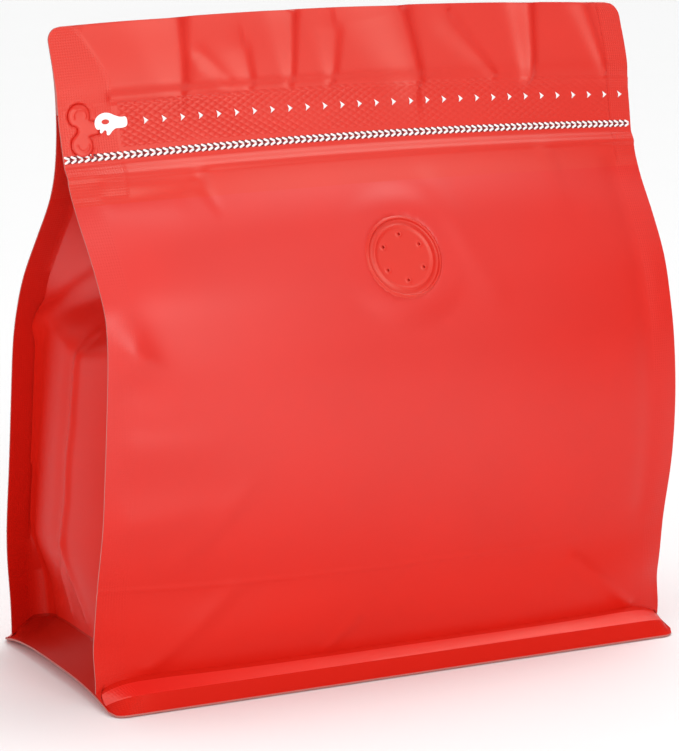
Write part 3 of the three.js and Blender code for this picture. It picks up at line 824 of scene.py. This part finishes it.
def filmAt(x, z):
    # the film's front surface over panel coordinates, without the tab's own groove
    s = x / widthAt(z)
    height = z + crown(s, z)
    y = frontEdgeY(s, z) - belly(s, z) - frontRelief(x, z) + tabRelief(x, z)
    return np.stack([x, flattenAtValve(x, y, height), height], -1)


def buildTab(v):
    u, w = np.meshgrid(np.arange(*v["across"], v["step"]), np.arange(*v["tall"], v["step"]))
    inside = -distanceToTab(u, w)
    rise = v["proud"] - v["edgeDrop"] * np.exp(-np.maximum(inside, 0) / v["edge"]) * (inside < 2)
    upper, lower = tab["lobeSpan"], -tab["lobeSpan"]
    arch = np.abs(np.hypot(u, (w - upper) * 0.9) - v["archRadius"])
    rise += v["pressedLine"] * bump(arch, 0, v["lineSpread"]) * ramp(-1.2, -0.4, w - upper)
    cup = np.abs(np.hypot(u - 0.1, w - lower) - v["cupRadius"])
    rise += v["pressedLine"] * bump(cup, 0, v["lineSpread"]) * ramp(0.6, -0.2, w - lower)
    top = filmAt(u + tab["x"], w + tab["height"])
    low = top + np.array([0, v["thickness"], 0])
    top[..., 1] -= rise
    rows, columns = u.shape
    points = np.concatenate([top.reshape(-1, 3), low.reshape(-1, 3)])
    size = rows * columns
    faces = []
    for r in range(rows - 1):
        for c in range(columns - 1):
            a = r * columns + c
            faces.append((a, a + 1, a + columns + 1, a + columns))
            faces.append((size + a, size + a + columns, size + a + columns + 1, size + a + 1))
    # the grid's rim, once round
    rim = list(range(columns)) + [r * columns + columns - 1 for r in range(1, rows)]
    rim += [(rows - 1) * columns + c for c in range(columns - 2, -1, -1)]
    rim += [r * columns for r in range(rows - 2, 0, -1)]
    for a, b in zip(rim, rim[1:] + rim[:1]):
        faces.append((b, a, size + a, size + b))
    plate = meshObject("pullTab", points, faces)

    # a prism of the tab's outline cuts the plate out of the grid
    edge = filmAt(outline[:, 0] + tab["x"], outline[:, 1] + tab["height"])
    count = len(edge)
    ends = np.concatenate([edge + np.array([0, -2, 0]), edge + np.array([0, 0.6, 0])])
    sides = [(i, count + i, count + (i + 1) % count, (i + 1) % count) for i in range(count)]
    sides.append(tuple(range(count)))
    sides.append(tuple(range(2 * count - 1, count - 1, -1)))
    prism = meshObject("tabCutter", ends, sides)
    faceOutward(prism.data)
    cut = plate.modifiers.new("cut", "BOOLEAN")
    cut.object = prism
    cut.operation = "INTERSECT"
    cut.solver = "EXACT"
    return applied(plate, prism, sharp=60)


pullTab = buildTab(tabPiece)
print("pull tab built", len(pullTab.data.polygons), "faces")

# what each printed row is given
rowInputs = {
    "Film": "Object", "Stamp": "Object", "From": "Float", "To": "Float", "Pitch": "Float", "Height": "Float",
    "Crown": "Float", "Half Width": "Float", "Lift": "Float", "Ink": "Material",
}


def socket(tree, node, name, value):
    # links a node's input, or sets it where the value is a plain number or vector
    target = node.inputs[name]
    if isinstance(value, bpy.types.NodeSocket):
        tree.links.new(value, target)
    else:
        target.default_value = value


def addNode(tree, kind, inputs=None):
    node = tree.nodes.new(kind)
    for name, value in (inputs or {}).items():
        socket(tree, node, name, value)
    return node


def mathNode(tree, operation, *values):
    node = tree.nodes.new("ShaderNodeMath")
    node.operation = operation
    for i, value in enumerate(values):
        socket(tree, node, i, value)
    return node.outputs[0]


def buildPrintedRow():
    # stamps at a pitch across the panel, laid onto the film
    tree = bpy.data.node_groups.new("printedRow", "GeometryNodeTree")
    for name, kind in rowInputs.items():
        tree.interface.new_socket(name, in_out="INPUT", socket_type="NodeSocket" + kind)
    tree.interface.new_socket("Geometry", in_out="OUTPUT", socket_type="NodeSocketGeometry")
    calc, add = partial(mathNode, tree), partial(addNode, tree)
    given = add("NodeGroupInput").outputs

    def point(x, y, z):
        return add("ShaderNodeCombineXYZ", {"X": x, "Y": y, "Z": z}).outputs[0]

    span = calc("SUBTRACT", given["To"], given["From"])
    steps = calc("ROUND", calc("DIVIDE", span, given["Pitch"]))
    line = add("GeometryNodeMeshLine", {
        "Count": calc("ADD", steps, 1.0),
        "Start Location": point(given["From"], 0.0, given["Height"]),
        "Offset": point(given["Pitch"], 0.0, 0.0),
    })
    stamp = add("GeometryNodeObjectInfo", {"Object": given["Stamp"]}).outputs["Geometry"]
    copies = add("GeometryNodeInstanceOnPoints", {"Points": line.outputs[0], "Instance": stamp})
    real = add("GeometryNodeRealizeInstances", {0: copies.outputs[0]})

    # the band bows up in the middle, and each stamp's own depth stays its height off the film
    at = add("GeometryNodeInputPosition")
    x, depth, height = add("ShaderNodeSeparateXYZ", {0: at.outputs[0]}).outputs
    across = calc("DIVIDE", x, given["Half Width"])
    bow = calc("SUBTRACT", 1.0, calc("MULTIPLY", across, across))
    raised = calc("ADD", height, calc("MULTIPLY", bow, given["Crown"]))
    ray = add("GeometryNodeRaycast", {
        "Target Geometry": add("GeometryNodeObjectInfo", {"Object": given["Film"]}).outputs["Geometry"],
        "Source Position": point(x, -0.2, raised),
        "Ray Direction": (0.0, 1.0, 0.0),
        "Ray Length": 1.0,
    })
    hit = add("ShaderNodeSeparateXYZ", {0: ray.outputs["Hit Position"]}).outputs["Y"]
    off = calc("SUBTRACT", calc("ADD", hit, depth), given["Lift"])
    laid = add("GeometryNodeSetPosition", {"Geometry": real.outputs[0], "Position": point(x, off, raised)})
    inked = add("GeometryNodeSetMaterial", {"Geometry": laid.outputs[0], "Material": given["Ink"]})
    add("NodeGroupOutput", {"Geometry": inked.outputs[0]})
    return tree


def stampObject(name, shapes, thickness=0.05):
    # thin closed plates from outlines in the panel's plane, in millimetres
    points, faces = [], []
    for shape in shapes:
        first, n = len(points), len(shape)
        points += [(x, 0, z) for x, z in shape] + [(x, thickness, z) for x, z in shape]
        faces.append(tuple(first + i for i in range(n)))
        faces.append(tuple(first + n + i for i in range(n - 1, -1, -1)))
        faces += [(first + (i + 1) % n, first + i, first + n + i, first + n + (i + 1) % n) for i in range(n)]
    obj = meshObject(name, points, faces, smooth=False)
    faceOutward(obj.data)
    return obj


# print on the band, in millimetres; a span is where the first and the last stamp stand
printed = {
    "chevronSpan": (-99.2, 98.6),
    "chevronPitch": 2.1,
    "chevronHeight": 165.2,
    "chevronHalf": 1.15,
    "chevronStroke": 0.66,
    "chevronReach": 1.15,
    "chevronShift": -0.35,
    # dark copies of the chevrons, set a little to the right and nearer the film: a painted shadow beside
    # each white stroke
    "shadeSpan": (-99.2, 96.1),
    "shadeStroke": 0.75,
    "shadeShift": 0.55,
    "shadeSink": 0.03,
    "arrowSpan": (-73.2, 97.9),
    "arrowPitch": 6.03,
    "arrowHeight": 174.6,
    "arrowHalf": 1.1,
    "arrowLength": 1.6,
    "lift": 0.1,
}


def stroke(x0, x1, z0, z1, width, steps=4):
    # a slanted bar with rounded ends
    a = math.atan2(z1 - z0, x1 - x0)
    ends = []
    for cx, cz, turn in ((x0, z0, a + math.pi / 2), (x1, z1, a - math.pi / 2)):
        for k in range(steps + 1):
            angle = turn + math.pi * k / steps
            ends.append((cx + width / 2 * math.cos(angle), cz + width / 2 * math.sin(angle)))
    return ends


def chevronStamp(name, v, shift, width):
    half, reach = v["chevronHalf"], v["chevronReach"]
    upper = stroke(shift, shift + reach, half - width / 2, 0.28, width)
    lower = stroke(shift, shift + reach, width / 2 - half, -0.28, width)
    return stampObject(name, [upper, lower])


def arrowStamp(v):
    h, length = v["arrowHalf"], v["arrowLength"]
    return stampObject("arrowStamp", [[(0, h), (0.3, 0), (0, -h), (length, 0)]])


def printRow(name, tree, stamp, span, pitch, height, lift, ink):
    obj = placed(name, bpy.data.meshes.new(name))
    modifier = obj.modifiers.new("row", "NODES")
    modifier.node_group = tree
    values = {
        "Film": bagFilm, "Stamp": stamp, "From": span[0] * mm, "To": span[1] * mm, "Pitch": pitch * mm,
        "Height": height * mm, "Crown": bag["crownRise"] * mm * float(ramp(*bag["crownReach"], height)),
        "Half Width": bag["halfWidth"] * mm, "Lift": lift * mm, "Ink": ink,
    }
    for item in tree.interface.items_tree:
        if item.in_out == "INPUT":
            modifier[item.identifier] = values[item.name]
    return obj


filmLook = {
    "colour": (0.61, 0.0115, 0.005),
    "roughness": 0.39,
    "gloss": 0.14,
    "trimGloss": 0.6,
    "gussetGloss": 0.09,
    "ledgeGloss": 1.0,
    # the ledge's colour is lighter than the film's: a painted highlight along the ledge above the skirt
    "litLedgeColour": (0.76, 0.013, 0.008),
    "skirtGloss": 0.08,
    # the skirt lies in the bag's shade: its colour's share in front and at the sides
    "skirtShade": (0.93, 0.66),
    # a second, smooth layer of gloss: least, most, the heights it grows between and its loss to the right
    "bodyCoat": (0.12, 0.9, 14, 95, 0.4),
    "gussetCoat": (0.0, 0.9, 106, 120, 0.0),
    "glossTint": (1, 0.96, 0.8),
    "gridPitch": 0.8,
    "gridDepth": 0.05,
    "knurlPitch": (1.55, 0.95),
    "knurlDepth": 0.19,
    # where the mesh and the diamonds begin and end, in film millimetres
    "sealMesh": ((90.7, 91.3), (110.5, 109.5)),
    "weldMeshFoot": (153.6, 154.2),
    "weldMeshEdge": -82.0,
    "weldMeshLean": -8.0,
    "weldLeanReach": (184, 204),
    "bandTall": ((167.2, 167.8), (181.0, 180.4)),
    "bandWide": ((-81.4, -81.0), (92.0, 91.6)),
    "edgeColour": (0.45, 0.13, 0.11),
    "edgeRoughness": 0.5,
}
inkLook = {
    "white": (0.9, 0.87, 0.86),
    "whiteRoughness": 0.45,
    # the colour of the chevrons' painted shadow
    "dark": (0.16, 0.008, 0.01),
    "darkRoughness": 0.5,
}


def group(name, inputs, outputs):
    tree = bpy.data.node_groups.new(name, "ShaderNodeTree")
    for labels, way in ((inputs, "INPUT"), (outputs, "OUTPUT")):
        for label in labels:
            tree.interface.new_socket(label, in_out=way, socket_type="NodeSocketFloat")
    return tree, tree.nodes.new("NodeGroupInput").outputs, tree.nodes.new("NodeGroupOutput")


def stepNode(tree, value, low, high):
    node = addNode(tree, "ShaderNodeMapRange", {"Value": value, "From Min": low, "From Max": high})
    node.interpolation_type = "SMOOTHSTEP"
    return node.outputs[0]


def insideNode(tree, value, start, end):
    # 1 within a stretch and 0 outside it
    return mathNode(tree, "MULTIPLY", stepNode(tree, value, *start), stepNode(tree, value, *end))


def waveNode(tree, value):
    turn = mathNode(tree, "MULTIPLY", value, math.pi)
    return mathNode(tree, "ABSOLUTE", mathNode(tree, "SINE", turn))


def buildPressedGrid():
    # crossed lines pressed into a weld
    tree, given, end = group("pressedGrid", ["U", "V", "Pitch"], ["Height"])
    waves = [waveNode(tree, mathNode(tree, "DIVIDE", given[name], given["Pitch"])) for name in ("U", "V")]
    socket(tree, end, "Height", mathNode(tree, "MULTIPLY", *waves))
    return tree


def buildKnurl():
    # rows of small diamonds
    tree, given, end = group("diamonds", ["U", "V", "Across", "Tall"], ["Height"])
    a = mathNode(tree, "DIVIDE", given["U"], given["Across"])
    b = mathNode(tree, "DIVIDE", given["V"], given["Tall"])
    waves = [waveNode(tree, mathNode(tree, operation, a, b)) for operation in ("ADD", "SUBTRACT")]
    socket(tree, end, "Height", mathNode(tree, "POWER", mathNode(tree, "MULTIPLY", *waves), 0.7))
    return tree


def noise(tree, scale, detail, vector):
    node = addNode(tree, "ShaderNodeTexNoise", {"Scale": scale, "Detail": detail, "Vector": vector})
    return node.outputs[0]


def principled(name):
    material = bpy.data.materials.new(name)
    material.use_nodes = True
    tree = material.node_tree
    return material, tree, tree.nodes["Principled BSDF"]


def colourRamp(tree, value, dark, light):
    node = tree.nodes.new("ShaderNodeMix")
    node.data_type = "RGBA"
    socket(tree, node, 0, value)
    node.inputs[6].default_value = (*dark, 1)
    node.inputs[7].default_value = (*light, 1)
    return node.outputs[2]


def tinted(colour, k):
    return tuple(min(1, c * k) for c in colour)


def groupNode(tree, nodeGroup, inputs):
    node = tree.nodes.new("ShaderNodeGroup")
    node.node_tree = nodeGroup
    for name, value in inputs.items():
        socket(tree, node, name, value)
    return node.outputs[0]


def pressedHeight(tree, v, u, z, near, place):
    # the mesh of the seals and of the weld beside the tab, and the diamonds of the band
    calc, step = partial(mathNode, tree), partial(stepNode, tree)
    edge = calc("MULTIPLY_ADD", step(z, *v["weldLeanReach"]), v["weldMeshLean"], v["weldMeshEdge"])
    weld = calc("MULTIPLY", step(calc("SUBTRACT", u, edge), 0.3, -0.3), step(z, *v["weldMeshFoot"]))
    weld = calc("MULTIPLY", weld, step(u, -100.6, -100.4))
    meshed = calc("MAXIMUM", insideNode(tree, near, *v["sealMesh"]), weld)
    grid = groupNode(tree, pressedGrid, {"U": u, "V": z, "Pitch": v["gridPitch"]})
    gridHeight = calc("MULTIPLY", calc("MULTIPLY", grid, meshed), v["gridDepth"])

    band = calc("MULTIPLY", insideNode(tree, z, *v["bandTall"]), insideNode(tree, u, *v["bandWide"]))
    across, tall = v["knurlPitch"]
    knurl = groupNode(tree, diamonds, {"U": u, "V": z, "Across": across * 2, "Tall": tall * 2})
    # the diamonds are pressed unevenly, and deepest beside the tab
    patches = step(noise(tree, 60, 2, place), 0.3, 0.65)
    pressed = calc("MULTIPLY_ADD", step(u, 20, -70), 0.65, 0.35)
    pressed = calc("MULTIPLY", pressed, calc("MULTIPLY_ADD", patches, 0.6, 0.4))
    pressed = calc("MULTIPLY", pressed, calc("MULTIPLY", band, v["knurlDepth"]))
    return calc("ADD", gridHeight, calc("MULTIPLY", knurl, pressed))


def filmMaterial(name, v, gloss, colour="colour", shade=None, coat=None, pressed=True):
    material, tree, shader = principled(name)
    calc, step = partial(mathNode, tree), partial(stepNode, tree)
    place = addNode(tree, "ShaderNodeTexCoord").outputs["Object"]
    base = v[colour]
    tone = colourRamp(tree, noise(tree, 34, 3, place), tinted(base, 0.93), tinted(base, 1.05))
    grain = noise(tree, 2600, 2, place)
    socket(tree, shader, "Roughness", calc("MULTIPLY_ADD", grain, 0.1, v["roughness"] - 0.05))
    socket(tree, shader, "Specular IOR Level", v[gloss])
    socket(tree, shader, "Specular Tint", (*v["glossTint"], 1))
    height = calc("MULTIPLY", grain, 0.008)
    if pressed:
        uv = tree.nodes.new("ShaderNodeUVMap")
        uv.uv_map = "film"
        split = addNode(tree, "ShaderNodeSeparateXYZ", {0: uv.outputs[0]}).outputs
        u, z = calc("MULTIPLY", split["X"], 1000.0), calc("MULTIPLY", split["Y"], 1000.0)
        # distance from the middle of the nearer panel
        near = calc("PINGPONG", u, halfAround / 2)
        height = calc("ADD", height, pressedHeight(tree, v, u, z, near, place))
    if shade:
        front, side = v[shade]
        tone = colourRamp(tree, step(near, 101, 108), tinted(base, front), tinted(base, side))
    if coat:
        least, most, start, full, loss = v[coat]
        rising = calc("MULTIPLY_ADD", step(z, start, full), most - least, least)
        fading = calc("MULTIPLY_ADD", step(u, 10, 100), -loss, 1.0)
        socket(tree, shader, "Coat Weight", calc("MULTIPLY", rising, fading))
        socket(tree, shader, "Coat Roughness", v["roughness"])
    relief = addNode(tree, "ShaderNodeBump", {"Strength": 1.0, "Distance": mm, "Height": height})
    socket(tree, shader, "Base Color", tone)
    socket(tree, shader, "Normal", relief.outputs[0])
    return material


def plainMaterial(name, colour, roughness, scale=900):
    material, tree, shader = principled(name)
    mottle = noise(tree, scale, 2, addNode(tree, "ShaderNodeTexCoord").outputs["Object"])
    socket(tree, shader, "Base Color", colourRamp(tree, mottle, tinted(colour, 0.94), colour))
    socket(tree, shader, "Roughness", mathNode(tree, "MULTIPLY_ADD", mottle, 0.08, roughness))
    return material


pressedGrid = buildPressedGrid()
diamonds = buildKnurl()
film = filmMaterial("film", filmLook, "trimGloss")
bodyFilm = filmMaterial("bodyFilm", filmLook, "gloss", coat="bodyCoat")
# a lighter copy of the film for the ledge: painted highlight
litLedgeFilm = filmMaterial("litLedgeFilm", filmLook, "ledgeGloss", colour="litLedgeColour")
gussetFilm = filmMaterial("gussetFilm", filmLook, "gussetGloss", coat="gussetCoat")
skirtFilm = filmMaterial("skirtFilm", filmLook, "skirtGloss", shade="skirtShade")
plainFilm = filmMaterial("valveFilm", filmLook, "trimGloss", pressed=False)
cutEdge = plainMaterial("cutEdge", filmLook["edgeColour"], filmLook["edgeRoughness"])
whiteInk = plainMaterial("whiteInk", inkLook["white"], inkLook["whiteRoughness"])
paintedShadow = plainMaterial("paintedShadow", inkLook["dark"], inkLook["darkRoughness"])
for material in (film, cutEdge, gussetFilm, skirtFilm, bodyFilm, litLedgeFilm):
    bagFilm.data.materials.append(material)
valveDisc.data.materials.append(plainFilm)
pullTab.data.materials.append(plainFilm)
print("materials ready")


def makePrint(v):
    tree = buildPrintedRow()
    light = chevronStamp("chevronStamp", v, v["chevronShift"], v["chevronStroke"])
    shade = chevronStamp("shadeStamp", v, v["shadeShift"], v["shadeStroke"])
    arrow = arrowStamp(v)
    pitch, height, lift = v["chevronPitch"], v["chevronHeight"], v["lift"]
    rows = [
        printRow("chevronRow", tree, light, v["chevronSpan"], pitch, height, lift, whiteInk),
        printRow("chevronShade", tree, shade, v["shadeSpan"], pitch, height, lift - v["shadeSink"], paintedShadow),
        printRow("arrowRow", tree, arrow, v["arrowSpan"], v["arrowPitch"], v["arrowHeight"], lift, whiteInk),
    ]
    for obj in rows:
        applied(obj)
    for stamp in (light, shade, arrow):
        bpy.data.objects.remove(stamp)
    return rows


printRows = makePrint(printed)
print("print rows laid", [len(o.data.polygons) for o in printRows])

handSign = {
    "lift": 0.13,
    "thickness": 0.05,
    # outline of the hand in panel coordinates, then the opening between finger and thumb
    "hand": [(-89.0, 174.2), (-88.6, 176.4), (-86.6, 177.8), (-84.2, 177.9), (-82.0, 176.7), (-80.4, 176.2),
             (-78.5, 176.4), (-78.5, 173.5), (-80.4, 173.0), (-82.2, 173.2), (-83.6, 172.4), (-84.6, 171.2),
             (-85.5, 171.3), (-85.3, 172.6), (-86.0, 172.9), (-86.9, 171.9), (-87.6, 172.2), (-87.2, 173.3),
             (-88.2, 173.0)],
    "opening": (-85.4, 175.2, 1.25, 0.75),
}


def buildHand(v):
    curve = bpy.data.curves.new("handSign", "CURVE")
    curve.dimensions = "2D"
    curve.fill_mode = "BOTH"
    curve.extrude = v["thickness"] / 2
    hole = arc(0, 0, 1, 0, 345, 24) * np.array(v["opening"][2:]) + np.array(v["opening"][:2])
    rounded = np.array(v["hand"])
    for _ in range(2):
        # each round cuts every corner of the outline
        following = np.roll(rounded, -1, axis=0)
        pairs = [lerp(rounded, following, share) for share in (0.25, 0.75)]
        rounded = np.stack(pairs, 1).reshape(-1, 2)
    for loop in (rounded, hole):
        spline = curve.splines.new("POLY")
        spline.points.add(len(loop) - 1)
        spline.points.foreach_set("co", np.column_stack([loop, np.zeros((len(loop), 2))]).ravel())
        spline.use_cyclic_u = True
    flat = placed("flatHand", curve)
    mesh = bpy.data.meshes.new_from_object(flat.evaluated_get(bpy.context.evaluated_depsgraph_get()))
    bpy.data.objects.remove(flat)
    shape = bmesh.new()
    shape.from_mesh(mesh)
    bmesh.ops.remove_doubles(shape, verts=shape.verts, dist=1e-4)
    longEdges = [e for e in shape.edges if e.calc_length() > 1.2]
    bmesh.ops.subdivide_edges(shape, edges=longEdges, cuts=2)
    bmesh.ops.triangulate(shape, faces=shape.faces)
    flatPoints = np.array([p.co for p in shape.verts])
    laid = filmAt(flatPoints[:, 0], flatPoints[:, 1])
    laid[:, 1] -= v["lift"] + flatPoints[:, 2]
    for vert, co in zip(shape.verts, laid):
        vert.co = Vector(co) * mm
    bmesh.ops.recalc_face_normals(shape, faces=shape.faces)
    shape.to_mesh(mesh)
    shape.free()
    mesh.materials.clear()
    mesh.materials.append(whiteInk)
    return placed("handSign", mesh)


hand = buildHand(handSign)
print("hand sign laid", len(hand.data.polygons))

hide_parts("bag")
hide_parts("valve")
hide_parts("pull_tab")
for obj in [bagFilm, valveDisc, pullTab, hand] + printRows:
    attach(obj, "root")

stage = {
    "floorColour": (0.9, 0.9, 0.9),
    "floorRoughness": 0.6,
    "floorReach": (-4000, 4000, -4000, 6000),
    # the studio's walls and ceiling: toward, how narrow, strength
    "glows": [
        ((0, 0, 1), 1, 0.58),
        ((-1, -0.2, 0.1), 3, 0.7),
        ((-0.2, -0.95, 0.2), 3, 0.45),
        ((0.5, -0.85, 0.2), 4, 0.15),
        ((0.7, -0.2, 0.7), 10, 0.35),
        ((0, 0.7, 0.7), 4, 0.8),
        ((0.42, 0.12, 0.9), 24, 4.6),
    ],
    # lamps look at this point
    "target": (0, 0, 0.1),
    # name, azimuth, elevation, distance, lift, size across and tall, watts; azimuth 0 is in front
    "lamps": [
        ("left", -60, 15, 0.8, 0.05, 0.45, 0.45, 1.25),
        ("front", 0, 6, 1.7, 0.2, 0.8, 0.6, 5.8),
        ("above", 8, 30, 1.7, 0.0, 0.8, 0.6, 4.9),
    ],
}


def buildStage(v):
    x0, x1, y0, y1 = v["floorReach"]
    corners = [(x0, y0, 0), (x1, y0, 0), (x1, y1, 0), (x0, y1, 0)]
    floor = meshObject("floor", corners, [(0, 1, 2, 3)], smooth=False)
    material, tree, shader = principled("floorPaint")
    mottle = noise(tree, 9, 3, addNode(tree, "ShaderNodeTexCoord").outputs["Object"])
    light = v["floorColour"]
    socket(tree, shader, "Base Color", colourRamp(tree, mottle, tinted(light, 0.985), light))
    socket(tree, shader, "Roughness", v["floorRoughness"])
    floor.data.materials.append(material)
    world = bpy.data.worlds.new("studio")
    world.use_nodes = True
    sky = world.node_tree
    shade = sky.nodes["Background"]
    toward = addNode(sky, "ShaderNodeTexCoord").outputs["Generated"]
    total = 0.0
    for direction, narrow, strength in v["glows"]:
        facing = addNode(sky, "ShaderNodeVectorMath", {0: toward, 1: Vector(direction).normalized()})
        facing.operation = "DOT_PRODUCT"
        lobe = mathNode(sky, "POWER", mathNode(sky, "MAXIMUM", facing.outputs["Value"], 0.0), float(narrow))
        total = mathNode(sky, "MULTIPLY_ADD", lobe, strength, total)
    socket(sky, shade, "Color", (1, 1, 1, 1))
    socket(sky, shade, "Strength", total)
    bpy.context.scene.world = world
    target = Vector(v["target"])
    for name, azimuth, elevation, distance, lift, wide, tall, watts in v["lamps"]:
        data = bpy.data.lights.new(name, "AREA")
        data.shape = "RECTANGLE"
        data.size = wide
        data.size_y = tall
        data.energy = watts
        lamp = placed(name, data)
        lamp.location = target + awayFrom(azimuth, elevation) * distance + Vector((0, 0, lift))
        lamp.rotation_euler = (target - lamp.location).to_track_quat("-Z", "Y").to_euler()


buildStage(stage)
bpy.context.scene.view_settings.view_transform = "Standard"
print("stage lit")
